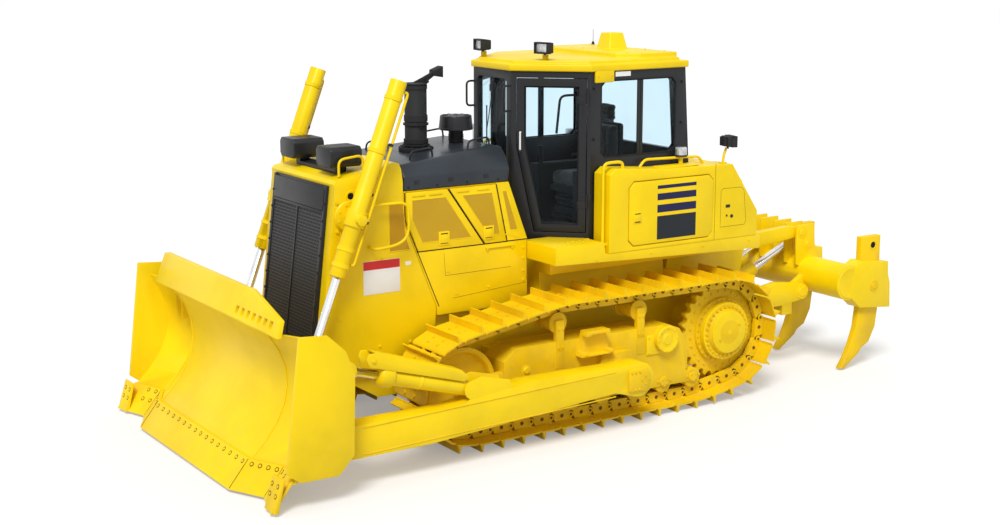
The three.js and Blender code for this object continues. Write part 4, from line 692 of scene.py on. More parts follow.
def pipe(name: str, path: Sequence[Vector], radius: float, finish: Finish, body: str = "root",
         smooth: bool = True, sides: int = 4) -> bpy.types.Object:
    """A tube along a path, as a mesh.

    Args:
        name: The piece's name.
        path: The points that it follows.
        radius: The tube's radius.
        finish: The finish that it takes.
        body: The body that it moves with.
        smooth: Whether it bends in curves, or has plain corners.
        sides: Steps round a quarter of the section.

    Returns:
        The tube.
    """
    curve = bpy.data.curves.new(name, "CURVE")
    curve.dimensions = "3D"
    curve.bevel_depth = radius
    curve.bevel_resolution = sides
    curve.use_fill_caps = True
    spline = curve.splines.new("BEZIER")
    spline.bezier_points.add(len(path) - 1)
    for knot, point in zip(spline.bezier_points, path):
        knot.co = point
        knot.handle_left_type = knot.handle_right_type = "AUTO" if smooth else "VECTOR"
    curve.resolution_u = 10 if smooth else 1
    holder = bpy.data.objects.new(name, curve)
    bpy.context.scene.collection.objects.link(holder)
    bpy.context.view_layer.update()
    data = bpy.data.meshes.new_from_object(holder)
    bpy.data.objects.remove(holder)
    data.name = name
    tidy = bmesh.new()
    tidy.from_mesh(data)
    bmesh.ops.remove_doubles(tidy, verts=tidy.verts[:], dist=1e-6)
    bmesh.ops.recalc_face_normals(tidy, faces=tidy.faces[:])
    tidy.to_mesh(data)
    tidy.free()
    return settle(name, data, finish, body)


def rail(name: str, points: Sequence[Vector], radius: float, finish: Finish,
         body: str = "root", bend: float = 0.05) -> bpy.types.Object:
    """A bent tube with rounded corners between its points."""
    path: list[Vector] = [points[0]]
    for before, corner, after in zip(points, points[1:], points[2:]):
        into = (before - corner).normalized() * min(bend, (before - corner).length / 2)
        away = (after - corner).normalized() * min(bend, (after - corner).length / 2)
        for step in range(5):
            t = step / 4
            path.append(corner + into * (1 - t) ** 2 + away * t ** 2)
    path.append(points[-1])
    return pipe(name, path, radius, finish, body, smooth=False)


def disc_of(centre: Vector, axis: Vector, radius: float, count: int,
            start: float = 0.0) -> list[Vector]:
    """Places evenly spaced on a circle about an axis."""
    turn = facing(axis).to_3x3()
    return [centre + turn @ Vector((radius * math.cos(start + math.tau * i / count),
                                    radius * math.sin(start + math.tau * i / count), 0))
            for i in range(count)]


# ---- undercarriage -----------------------------------------------------------------------
@dataclass(frozen=True)
class Wheel:
    """A round thing that the chain runs over."""

    back: float
    z: float
    radius: float                       # radius of the chain's pin line round it


@dataclass
class Chain:
    """One track chain: the line of its pins, its shoes and its links."""

    pitch: float = 0.2286
    shoe_width: float = 0.56
    grouser: float = 0.065
    plate_rise: float = 0.070
    plate_thick: float = 0.018
    link_depth: float = 0.055
    link_gap: float = 0.120
    link_width: float = 0.046
    centre: float = 1.0
    wheels: tuple[Wheel, ...] = (
        Wheel(-0.020, 0.575, 0.440), Wheel(2.620, 0.2900, 0.155), Wheel(3.060, 0.700, 0.491),
        Wheel(1.950, 1.053, 0.140), Wheel(1.000, 1.053, 0.140))

    def pins(self) -> list[tuple[float, float]]:
        """The pins' places, as (distance behind, height)."""
        headings = []
        for wheel, after in zip(self.wheels, self.wheels[1:] + self.wheels[:1]):
            run, rise = after.back - wheel.back, after.z - wheel.z
            lean = math.asin((wheel.radius - after.radius) / math.hypot(run, rise))
            headings.append(math.atan2(rise, run) - math.pi / 2 + lean)
        line: list[Vector] = []
        for index, wheel in enumerate(self.wheels):
            start = headings[index - 1]
            sweep = (headings[index] - start) % math.tau
            steps = max(1, math.ceil(sweep / 0.05))
            for step in range(steps + 1):
                angle = start + (sweep * step / steps if sweep < math.pi * 1.5 else 0)
                line.append(Vector((wheel.back + wheel.radius * math.cos(angle),
                                    wheel.z + wheel.radius * math.sin(angle))))
        line.append(line[0])
        reach = [0.0]
        for before, after in zip(line, line[1:]):
            reach.append(reach[-1] + (after - before).length)
        count = round(reach[-1] / self.pitch)
        found = []
        for number in range(count):
            along = reach[-1] * number / count
            k = max(1, next(i for i, value in enumerate(reach) if value >= along))
            share = (along - reach[k - 1]) / max(reach[k] - reach[k - 1], 1e-9)
            found.append(tuple(line[k - 1].lerp(line[k], share)))
        return found

    def section(self, piece: Piece, pin: tuple, after: tuple, outline: Outline, x0: float,
                x1: float) -> None:
        """Adds a solid whose section is drawn along one link of the chain.

        Args:
            piece: The piece that it is added to.
            pin: The link's first pin.
            after: The link's second pin.
            outline: The section: share of the link's length, and rise outwards in metres.
            x0: The solid's near side.
            x1: The solid's far side.
        """
        ahead = Vector(after) - Vector(pin)
        out = Vector((ahead.y, -ahead.x)).normalized()
        corners = []
        for share, rise in outline:
            spot = Vector(pin) + ahead * share + out * rise
            corners.append(at(x0, spot.x, spot.y))
        piece.plate(corners, Vector((x1 - x0, 0, 0)))

    def build(self, side: int, name: str) -> None:
        """Makes the shoes, bolts and links of one side.

        Args:
            side: 1 on the left, -1 on the right.
            name: "left" or "right".
        """
        pins = self.pins()
        root, tip = self.plate_rise, self.plate_rise + self.grouser - 0.0005
        under = root - self.plate_thick
        shoe = [(0.015, under + 0.004), (0.03, root - 0.006), (0.085, root), (0.118, tip - 0.012),
                (0.125, tip), (0.185, tip), (0.192, tip - 0.012), (0.235, root),
                (0.90, root - 0.002), (0.985, root - 0.012), (1.03, under - 0.006),
                (1.01, under - 0.014), (0.93, under)]
        half = self.shoe_width / 2
        shoes = Piece(f"track_{name}_shoes", TRACK_YELLOW)
        links = Piece(f"track_{name}_links", TRACK_YELLOW)
        bolts = Piece(f"track_{name}_shoe_bolts", TRACK_YELLOW)
        # Dark discs on the pins' ends and the links' windows: painted shade inside their bores.
        bores = Piece(f"track_{name}_link_bore_shade", BORE_SHADE)
        low, high = -self.link_depth, under - 0.001
        plate = [(0.0, low + 0.008), (0.12, low), (0.88, low), (1.0, low + 0.008),
                 (1.13, low + 0.03),
                 (1.15, 0.01), (1.06, 0.036), (0.97, high), (0.22, high), (0.16, 0.02),
                 (0.135, 0.0), (-0.02, -0.005), (-0.06, low + 0.026)]
        for pin, after in zip(pins, pins[1:] + pins[:1]):
            self.section(shoes, pin, after, shoe, side * (self.centre - half),
                         side * (self.centre + half))
            ahead = (Vector(after) - Vector(pin))
            out = Vector((0, ahead.y, -ahead.x)).normalized()
            for edge in (-1, 1):
                near = self.centre + edge * self.link_gap / 2
                far = near + edge * self.link_width
                self.section(links, pin, after, plate, side * min(near, far),
                             side * max(near, far))
                for end in (near, far):
                    way = Vector((side * (edge if end == far else -edge), 0, 0))
                    for share, radius in ((0.0, 0.030), (0.55, 0.0)):
                        middle = Vector(pin) + ahead * share
                        spot = at(side * end, middle.x, middle.y)
                        if radius:
                            links.rod(spot, spot + way * 0.006, radius, radius - 0.003, 12)
                            bores.rod(spot, spot + way * 0.0072, 0.015, sides=8)
                        else:
                            bores.rod(spot, spot + way * 0.0012, 0.020, sides=8)
                for share in (0.42, 0.74):
                    spot = Vector(pin) + ahead * share
                    place = at(side * (near + far) / 2, spot.x, spot.y) + out * (root - 0.001)
                    bolts.rod(place, place + out * 0.014, 0.0165, 0.015, 6)
        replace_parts(shoes.done(), f"track_{name}")
        for piece in (links, bolts, bores):
            piece.done()


@dataclass
class TrackWheels:
    """Idler, sprocket and final drive, with their rings of bolts."""

    hub_bolts: int = 30
    ring_bolts: int = 27
    idler: Wheel = Wheel(-0.020, 0.575, 0.440)
    sprocket: Wheel = Wheel(3.060, 0.700, 0.491)

    def build(self, side: int, name: str) -> None:
        """Makes one side's wheels.

        Args:
            side: 1 on the left, -1 on the right.
            name: "left" or "right".
        """
        out = Vector((side, 0, 0))
        dressed(f"idler_{name}", TRACK_YELLOW, 0.006)
        dressed(f"sprocket_{name}", TRACK_YELLOW, 0.005)
        hub = at(side * 1.0, self.sprocket.back, self.sprocket.z)
        cover = Piece(f"final_drive_{name}_cover", YELLOW)
        cover.turned(hub, out, [(0.0, 0.2048), (0.022, 0.2048), (0.027, 0.2010), (0.205, 0.1985),
                                (0.2145, 0.195), (0.219, 0.186), (0.222, 0.152), (0.228, 0.146),
                                (0.286, 0.146), (0.2915, 0.142), (0.2925, 0.132), (0.2925, 0.1)],
                     64)
        cover.done()
        bolts = Piece(f"final_drive_{name}_bolts", TRACK_YELLOW)
        bolts.bolts(disc_of(hub + out * 0.146, out, 0.256, self.hub_bolts), out, 0.0145)
        bolts.bolts(disc_of(hub + out * 0.075, out, 0.311, self.hub_bolts, 0.1), out, 0.010)
        bolts.bolts(disc_of(hub + out * 0.1995, out, 0.14, 2, 0.5), out, 0.012)
        bolts.bolts(disc_of(hub + out * 0.038, out, 0.385, self.ring_bolts), out, 0.012)
        bolts.done()
        centre = at(side * 1.0, self.idler.back, self.idler.z)
        cap = Piece(f"idler_{name}_cap", TRACK_YELLOW)
        for way in (out, -out):
            cap.turned(centre, way, [(0.0, 0.0745), (0.05, 0.0745), (0.056, 0.071), (0.082, 0.071),
                                     (0.086, 0.066), (0.0945, 0.064), (0.0945, 0.05)], 40)
            cap.bolts(disc_of(centre + way * 0.071, way, 0.068, 6), way, 0.0055)
        cap.done()


@dataclass
class TrackFrame:
    """A track frame with its rollers, carriers, step, covers and the arm's trunnion."""

    rollers: int = 7
    first: float = 0.420
    last: float = 2.620
    roller_z: float = 0.2903
    carriers: tuple[float, ...] = (1.000, 1.950)
    outer: float = 1.170
    trunnion: tuple[float, float] = (1.630, 0.515)

    def build(self, side: int, name: str) -> None:
        """Makes one side's frame.

        Args:
            side: 1 on the left, -1 on the right.
            name: "left" or "right".
        """
        out = Vector((side, 0, 0))
        dressed(f"track_frame_{name}", TRACK_YELLOW, 0.006)
        extras = Piece(f"track_frame_{name}_fittings", TRACK_YELLOW)
        for number in range(self.rollers):
            back = self.first + (self.last - self.first) * number / (self.rollers - 1)
            centre = at(side * (self.outer + 0.0005), back, self.roller_z + 0.012)
            extras.rod(centre, centre + out * 0.012, 0.052, 0.048, 20)
            extras.bolts(disc_of(centre + out * 0.012, out, 0.034, 4, 0.78), out, 0.007)
            for shift in (-0.075, 0.075):
                extras.bolt(at(side * self.outer, back + shift, 0.312), out, 0.011)
        for back in self.carriers:
            for x in (0.868, 0.882, 1.113, 1.128):
                ring = at(side * x, back, 1.0527)
                extras.rod(ring, ring + out * 0.009, 0.099, sides=28)
            face = at(side * (self.outer + 0.0055), back, 0.94)
            extras.block(face + Vector((0, -0.04, -0.14)),
                         face + Vector((side * 0.006, 0.04, 0.09)),
                         0.002)
            extras.bolts([face + Vector((side * 0.006, shift, rise))
                          for shift in (-0.024, 0.024) for rise in (-0.11, 0.06)], out, 0.010)
        extras.done()
        trim = Piece(f"track_frame_{name}_covers", YELLOW)
        cover = at(side * 1.2302, 2.240, 0.745)
        trim.turned(cover, out, [(0, 0.012), (0.05, 0.012), (0.058, 0.006), (0.1, 0.006),
                                 (0.108, 0.010), (0.126, 0.010), (0.132, 0.004), (0.1335, -0.01)],
                    48)
        trim.bolts(disc_of(cover + out * 0.010, out, 0.117, 8), out, 0.009)
        for ring in (0.05, 0.065):
            trim.turned(cover, out, [(ring - 0.003, 0.0055), (ring, 0.009), (ring + 0.003, 0.0055)],
                        40)
        tail = at(side * self.outer, 2.02, 0.60)
        trim.block(tail, tail + Vector((side * 0.014, 0.21, 0.2)), 0.006)
        trim.bolts([tail + Vector((side * 0.014, y, z)) for y in (0.025, 0.185)
                    for z in (0.025, 0.175)], out, 0.009)
        plug = at(side * self.outer, 0.62, 0.66)
        trim.turned(plug, out, [(0, 0.02), (0.026, 0.02), (0.030, 0.016), (0.034, 0.003),
                                (0.052, 0.003), (0.055, -0.004)], 24)
        trim.done()
        step = Piece(f"step_{name}_treads", TRACK_YELLOW)
        for shift in range(7):
            low = at(side * 1.198, 1.262 + shift * 0.033, 0.9605)
            step.block(low, low + Vector((side * 0.066, 0.010, 0.006)))
        step.bolts([at(side * 1.2805, back, 0.74) for back in (1.225, 1.52)], out, 0.010)
        step.done()


# ---- blade -------------------------------------------------------------------------------
@dataclass
class Blade:
    """The folded blade with its end bits, push arms, brace and tilt cylinder."""

    half: float = 1.79
    fold: float = 1.03
    notch: float = 1.374

    def edge_bolts(self) -> None:
        """Countersunk bolts along the cutting edge and the end bits, cast ahead of its face."""
        low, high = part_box("cutting_edge")
        piece = Piece("cutting_edge_bolts", EDGE_YELLOW)
        # Dark rings round the bolt heads: painted shade in their countersunk seats.
        sunk = Piece("cutting_edge_bolt_seat_shade", BORE_SHADE)
        seams = Piece("cutting_edge_seam_shade", SHADOW)
        for side in (-1, 1):
            spans = [(0.06, self.fold - 0.06, 8), (self.fold + 0.06, self.notch - 0.04, 4),
                     (self.notch + 0.05, self.half - 0.05, 4)]
            for start, end, count in spans:
                for number in range(count):
                    x = side * (start + (end - start) * number / (count - 1))
                    for rise in ((0.205,) if start < self.notch else (0.21, 0.13)):
                        met = cast("cutting_edge", Vector((x, low.y - 0.5, low.z + rise)),
                                   Vector((0, 1, 0)))
                        if met and met[0].y < high.y:
                            spot, normal = met
                            normal = normal if normal.y < 0 else -normal
                            sunk.rod(spot - normal * 0.003, spot + normal * 0.0015, 0.0215,
                                     sides=16)
                            piece.rod(spot - normal * 0.003, spot + normal * 0.0035, 0.0155, 0.013,
                                      12)
        piece.done("blade")
        sunk.done("blade")
        # Dark lines down the joints between the edge's sections: painted shade in the gaps.
        for x in (-self.fold, self.fold, -self.notch, self.notch):
            points = []
            for step in range(9):
                met = cast("cutting_edge", Vector((x, low.y - 0.5, low.z + 0.01 + step * 0.028)),
                           Vector((0, 1, 0)))
                if met:
                    points.append(met[0])
            for before, after in zip(points, points[1:]):
                if (after - before).length < 0.08:
                    seams.rod(before, after, 0.003, sides=6)
        seams.done("blade")

    def seams(self) -> None:
        """Weld beads on the mouldboard's folds."""
        low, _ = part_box("blade")
        beads = Piece("blade_weld_beads", YELLOW)
        for x in (-self.fold, self.fold, -self.notch, self.notch):
            path = []
            for number in range(24):
                z = 0.26 + number * 0.0455
                met = cast("blade", Vector((x, low.y - 0.6, z)), Vector((0, 1, 0)))
                if met:
                    path.append(met[0] + met[1] * 0.001)
            for before, after in zip(path, path[1:]):
                if (after - before).length < 0.2:
                    beads.rod(before, after, 0.006, sides=6)
        beads.done("blade")

    def build(self) -> None:
        """Makes the blade and what carries it."""
        dressed("blade", YELLOW, 0.005)
        dressed("cutting_edge", EDGE_YELLOW, 0.004)
        self.edge_bolts()
        self.seams()
        dressed("diagonal_brace", YELLOW, 0.005)
        for side, name in ((1, "left"), (-1, "right")):
            self.arm(side, name)
        self.tilt()

    def arm(self, side: int, name: str) -> None:
        """Makes one push arm with its trunnion cap, and its cast cap and flange beads.

        Args:
            side: 1 on the left, -1 on the right.
            name: "left" or "right".
        """
        dressed(f"push_arm_{name}", YELLOW, 0.006)
        out = Vector((side, 0, 0))
        caps = Piece(f"push_arm_{name}_caps", TRACK_YELLOW)
        low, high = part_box(f"push_arm_{name}")
        face = high.x if side > 0 else low.x
        centre = Vector((face, at(0, 1.630, 0).y, 0.515))
        caps.turned(centre - out * 0.012, out, [(0, 0.010), (0.04, 0.010), (0.048, 0.004),
                                                (0.07, 0.004), (0.075, 0.011), (0.098, 0.011),
                                                (0.104, 0.002), (0.105, -0.01)], 40)
        caps.bolts(disc_of(centre, out, 0.086, 6), out, 0.009)
        caps.done(f"push_arm_{name}")
        self.casting(side, name, face)

    def casting(self, side: int, name: str, face: float) -> None:
        """Makes the cast cap that holds the arm's end, and the arm's long flange beads.

        Args:
            side: 1 on the left, -1 on the right.
            name: "left" or "right".
            face: The arm's outer face.
        """
        out = Vector((side, 0, 0))
        cap = Piece(f"push_arm_{name}_casting", TRACK_YELLOW)
        centre = Vector((face, at(0, 1.62, 0).y, 0.515))
        cap.plate([centre + Vector((-side * 0.004, y, z)) for y, z in
                   ((-0.125, -0.105), (0.085, -0.115), (0.125, -0.060), (0.130, 0.060),
                    (0.080, 0.118), (-0.125, 0.112))], out * 0.026, 0.010)
        cap.bolts([centre + Vector((side * 0.022, y, z)) for y in (-0.10, -0.055, -0.010)
                   for z in (-0.085, 0.088)], out, 0.0115)
        cap.bolts(disc_of(centre + Vector((side * 0.022, 0.062, 0)), out, 0.040, 4), out, 0.0085)
        for rise in (-0.118, 0.118):
            start = at(0, -1.30, 0.425 + rise)
            end = at(0, 1.35, 0.510 + rise)
            cap.rod(Vector((face, start.y, start.z)), Vector((face, end.y, end.z)), 0.006, sides=8)
        cap.done(f"push_arm_{name}")

    def tilt(self) -> None:
        """Makes the tilt cylinder: its barrel, bolted head and shield."""
        dressed("tilt_rod", CHROME, 0.0)
        base, eye = at(1.48, -0.210, 0.700), at(1.48, -1.425, 1.045)
        way = (eye - base).normalized()
        span = (eye - base).length
        up = way.cross(Vector((1, 0, 0))).normalized()
        up = up if up.z > 0 else -up
        out = Vector((1, 0, 0))
        barrel = Piece("tilt_cylinder_barrel", YELLOW)
        barrel.turned(base, way, [(0.0, -0.02), (0.055, -0.02), (0.072, 0.02), (0.075, 0.06),
                                  (0.075, 0.50), (0.079, 0.505), (0.079, 0.525), (0.075, 0.53),
                                  (0.075, span - 0.475), (0.094, span - 0.465),
                                  (0.097, span - 0.46), (0.097, span - 0.36), (0.088, span - 0.345),
                                  (0.070, span - 0.332), (0.044, span - 0.330), (0.0, span - 0.34)],
                      40)
        barrel.bolts(disc_of(base + way * (span - 0.350), way, 0.080, 8), way, 0.0085)
        barrel.rod(base - out * 0.0865, base + out * 0.0865, 0.050, sides=28)
        barrel.rod(base - out * 0.0868, base + out * 0.0868, 0.034, sides=24)
        barrel_done = barrel.done("tilt_cylinder")
        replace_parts(barrel_done, "tilt_cylinder")
        shield = Piece("tilt_cylinder_shield", YELLOW)
        for x0, x1 in ((1.398, 1.412), (1.548, 1.562)):
            edge = [base + way * 0.10 + up * 0.060, base + way * (span - 0.20) + up * 0.060,
                    base + way * (span - 0.155) + up * 0.115,
                    base + way * (span - 0.165) + up * 0.170,
                    base + way * (span - 0.22) + up * 0.185, base + way * 0.14 + up * 0.150,
                    base + way * 0.06 + up * 0.105]
            shield.plate([Vector((x0, p.y, p.z)) for p in edge], out * (x1 - x0), 0.003)
        roof = [base + way * 0.08 + up * 0.118, base + way * 0.15 + up * 0.156,
                base + way * (span - 0.22) + up * 0.190, base + way * (span - 0.23) + up * 0.178,
                base + way * 0.15 + up * 0.144, base + way * 0.09 + up * 0.108]
        shield.plate([Vector((1.3985, p.y, p.z)) for p in roof], out * 0.163, 0.003)
        for spot in (base + way * (span - 0.225) + up * 0.118,):
            shield.turned(Vector((1.562, spot.y, spot.z)), out,
                          [(0.0, 0.012), (0.013, 0.012), (0.016, 0.008), (0.016, 0.003),
                           (0.026, 0.003), (0.028, -0.002)], 24)
        shield.done("tilt_cylinder")


# ---- lift cylinders ----------------------------------------------------------------------
@dataclass
class LiftCylinder:
    """A blade lift cylinder in its trunnion: barrel, head, pipes and pipe clamps."""

    x: float = 0.78
    trunnion: tuple[float, float] = (-0.916, 2.170)
    eye: tuple[float, float] = (-1.540, 0.540)
    top: float = 1.262
    foot: float = 0.530
    radius: float = 0.076

    def build(self, side: int, name: str) -> None:
        """Makes one side's cylinder.

        Args:
            side: 1 on the left, -1 on the right.
            name: "left" or "right".
        """
        body = f"lift_cylinder_{name}"
        dressed(f"lift_cylinder_{name}", YELLOW, 0.0035)
        dressed(f"lift_rod_{name}", CHROME, 0.0)
        pin = at(side * self.x, *self.trunnion)
        way = (at(side * self.x, *self.eye) - pin).normalized()
        out = Vector((side, 0, 0))
        rear = way.cross(out).normalized()
        rear = rear if rear.y > 0 else -rear
        rings = Piece(f"lift_cylinder_{name}_rings", YELLOW)
        r = self.radius
        for spot in (-1.10, -0.62, 0.28, 0.43):
            rings.turned(pin + way * spot, way,
                         [(r - 0.002, -0.018), (r + 0.006, -0.016), (r + 0.006, 0.016),
                          (r - 0.002, 0.018)], 36)
        rings.bolts(disc_of(pin + way * (self.foot + 0.001), way, r * 0.78, 8), way, 0.0075)
        rings.done(body)
        for number, (shift, start, end) in enumerate(((0.035, -1.18, 0.40), (-0.035, -0.45, 0.24))):
            aside = out * shift
            path = [pin + way * start + rear * (r - 0.004) + aside,
                    pin + way * start + rear * (r + 0.030) + aside,
                    pin + way * end + rear * (r + 0.030) + aside,
                    pin + way * end + rear * (r - 0.004) + aside]
            rail(f"lift_cylinder_{name}_pipe_{number + 1}", path, 0.0125, YELLOW, body, 0.03)
            clamp = Piece(f"lift_cylinder_{name}_clamp_{number + 1}", BLACK)
            for share in (0.3, 0.75):
                spot = pin + way * (start + (end - start) * share) + rear * (r + 0.022) + aside
                clamp.rod(spot - way * 0.012, spot + way * 0.012, 0.021, sides=16)
            clamp.done(body)


# ---- front, hood and engine doors --------------------------------------------------------
@dataclass
class Front:
    """Radiator guard, its black mask, the work lights and the side handles."""

    half: float = 0.534
    low: float = 0.840
    top: float = 2.434
    plate_low: float = 2.215             # lower edge of the blank plate above the mesh
    lean: float = 0.128                  # how far the mask leans back for each metre of height

    def face(self, x: float, z: float, proud: float = 0.0) -> Vector:
        """A place on the front of the mask."""
        place = at(x, -1.054 - (2.436 - z) * self.lean, z)
        return place + self.normal() * proud

    def normal(self) -> Vector:
        """The way that the mask faces."""
        return Vector((0, -1, self.lean)).normalized()

    def panel(self, piece: Piece, x0: float, x1: float, z0: float, z1: float, proud: float,
              thick: float, bevel: float = 0.0) -> None:
        """Adds a flat panel that lies on the mask."""
        corners = [self.face(x, z, proud) for x, z in ((x0, z0), (x1, z0), (x1, z1), (x0, z1))]
        piece.plate(corners, -self.normal() * thick, bevel)

    def mask(self) -> None:
        """Makes the mask's rim, mesh panels, seam, blank plate and bolts."""
        dressed("radiator_grille", BLACK, 0.004)
        mesh = Piece("radiator_mask_mesh", MASK_MESH)
        for x0, x1 in ((-self.half + 0.045, -0.012), (0.012, self.half - 0.045)):
            self.panel(mesh, x0, x1, self.low + 0.05, self.plate_low - 0.03, 0.004, 0.008)
        mesh.done()
        rim = Piece("radiator_mask_rim", BLACK)
        edge, seam = self.half - 0.002, 0.010
        for x0, x1, z0, z1 in ((-edge, -edge + 0.042, self.low + 0.004, self.top - 0.004),
                               (edge - 0.042, edge, self.low + 0.004, self.top - 0.004),
                               (-seam, seam, self.low + 0.04, self.plate_low - 0.02),
                               (-edge + 0.04, edge - 0.04, self.low + 0.004, self.low + 0.048)):
            self.panel(rim, x0, x1, z0, z1, 0.012, 0.014, 0.003)
        self.panel(rim, -edge + 0.03, edge - 0.03, self.plate_low, self.top - 0.02, 0.018, 0.020,
                   0.006)
        self.panel(rim, -edge + 0.03, edge - 0.03, self.plate_low - 0.026, self.plate_low - 0.004,
                   0.012, 0.014, 0.003)
        for x in (-edge + 0.016, edge - 0.016):
            rim.bolts([self.face(x, self.low + 0.06 + step * 0.153, 0.012) for step in range(10)],
                      self.normal(), 0.0095)
        for x in (-0.40, -0.13, 0.13, 0.40):
            rim.bolt(self.face(x, self.low + 0.026, 0.012), self.normal(), 0.0095)
        rim.done()

    def lights(self) -> None:
        """Makes the two box lights' visors, lenses and heat ribs."""
        dressed("hood_lights", BLACK, 0.008)
        trim = Piece("hood_light_frames", TRIM)
        lens = Piece("hood_light_lenses", LAMP_LENS)
        low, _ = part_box("hood_lights")
        for side in (-1, 1):
            x0, x1 = side * 0.245, side * 0.495
            y = low.y
            for z0, z1 in ((2.60, 2.617), (2.733, 2.75)):
                trim.block(Vector((min(x0, x1), y + 0.0005, z0)),
                           Vector((max(x0, x1), y + 0.03, z1)), 0.003)
            for number in range(4):
                spot = x0 + (x1 - x0) * number / 3
                trim.block(Vector((spot - 0.007, y + 0.001, 2.61)),
                           Vector((spot + 0.007, y + 0.03, 2.74)), 0.002)
            for number in range(3):
                a = x0 + (x1 - x0) * (number + 0.12) / 3
                b = x0 + (x1 - x0) * (number + 0.88) / 3
                lens.block(Vector((min(a, b), y + 0.0015, 2.622)),
                           Vector((max(a, b), y + 0.012, 2.728)), 0.003)
            for number in range(9):
                back = y + 0.10 + number * 0.022
                trim.block(Vector((min(x0, x1), back, 2.7645)), Vector((max(x0, x1), back + 0.006,
                                                                        2.7655)))
        trim.done()
        lens.done()

    def side_fittings(self) -> None:
        """Makes each side's vents, lamp hole, signs, cylinder yoke and grab loops."""
        for side, name in ((1, "left"), (-1, "right")):
            out = Vector((side, 0, 0))
            wall = 0.640
            vent = Piece(f"guard_vent_{name}", MESH_OCHRE)
            vent.plate([at(side * (wall + 0.002), -s, z) for s, z in
                        ((0.500, 2.249), (0.365, 2.249), (0.345, 1.95), (0.30, 1.812),
                         (0.500, 1.811))], out * -0.006)
            vent.done()
            rim = Piece(f"guard_vent_{name}_rim", YELLOW)
            for (s0, z0), (s1, z1) in zip(((0.505, 2.254), (0.360, 2.254), (0.340, 1.95),
                                           (0.293, 1.806), (0.505, 1.806)),
                                          ((0.360, 2.254), (0.340, 1.95), (0.293, 1.806),
                                           (0.505, 1.806), (0.505, 2.254))):
                rim.rod(at(side * (wall + 0.001), -s0, z0), at(side * (wall + 0.001), -s1, z1),
                        0.004, sides=8)
            rim.done()
            signs = Piece(f"guard_sign_{name}", WHITE)
            signs.block(at(side * wall, -0.776, 1.437), at(side * (wall + 0.0025), -0.401, 1.742),
                        0.001)
            signs.block(at(side * wall, -0.345, 1.668), at(side * (wall + 0.002), -0.285, 1.700))
            signs.done()
            band = Piece(f"guard_sign_{name}_band", RED)
            band.block(at(side * (wall + 0.002), -0.774, 1.662),
                       at(side * (wall + 0.0033), -0.403, 1.740))
            band.done()
            lamp = at(side * wall, -0.888, 2.346)
            fittings = Piece(f"guard_fittings_{name}", YELLOW)
            fittings.turned(lamp, out, [(0.030, 0.002), (0.034, 0.007), (0.048, 0.007),
                                        (0.052, 0.0), (0.052, -0.004)], 28)
            fittings.bolts([at(side * wall, -s, z) for s, z in
                            ((1.02, 1.25), (1.02, 0.95), (0.30, 0.95), (0.62, 0.95),
                             (0.95, 1.75), (0.58, 1.75))], out, 0.012)
            for z in (2.040, 2.300):
                hub = at(side * (wall + 0.0005), -0.916, z)
                fittings.bolts([hub + Vector((0, dy, 0)) for dy in (-0.11, 0.11)], out, 0.015)
            fittings.done()
            # A black disc inside the lamp ring: painted shade of the empty lamp hole.
            hole = Piece(f"guard_lamp_hole_shade_{name}", SHADOW)
            hole.rod(lamp - out * 0.001, lamp + out * 0.002, 0.031, sides=24)
            hole.done()
            yoke = Piece(f"cylinder_yoke_{name}", YELLOW)
            pin = at(side * 0.6762, -0.916, 2.170)
            yoke.turned(pin - out * 0.030, out, [(0.131, -0.005), (0.140, 0.0), (0.140, 0.012),
                                                 (0.131, 0.02)], 40)
            yoke.bolts(disc_of(pin - out * 0.006, out, 0.110, 8, 0.3), out, 0.012)
            yoke.done()
            rail(f"grab_loop_{name}", [at(side * (wall - 0.004), -0.86, 2.245),
                                       at(side * (wall + 0.10), -0.86, 2.262),
                                       at(side * (wall + 0.10), -0.40, 2.262),
                                       at(side * (wall + 0.10), -0.36, 2.20),
                                       at(side * (wall + 0.10), -0.36, 1.96),
                                       at(side * (wall + 0.10), -0.46, 1.885),
                                       at(side * (wall + 0.10), -0.70, 1.86),
                                       at(side * (wall - 0.004), -0.71, 1.872)],
                 0.0135, YELLOW, bend=0.09)
            rail(f"light_grab_loop_{name}", [at(side * 0.565, -0.96, 2.515),
                                             at(side * 0.565, -0.96, 2.665),
                                             at(side * 0.565, -0.72, 2.690),
                                             at(side * 0.565, -0.72, 2.545)],
                 0.0115, YELLOW, bend=0.06)

    def build(self) -> None:
        """Makes the machine's front end."""
        dressed("radiator_guard", YELLOW, 0.012, segments=3)
        self.mask()
        self.lights()
        self.side_fittings()


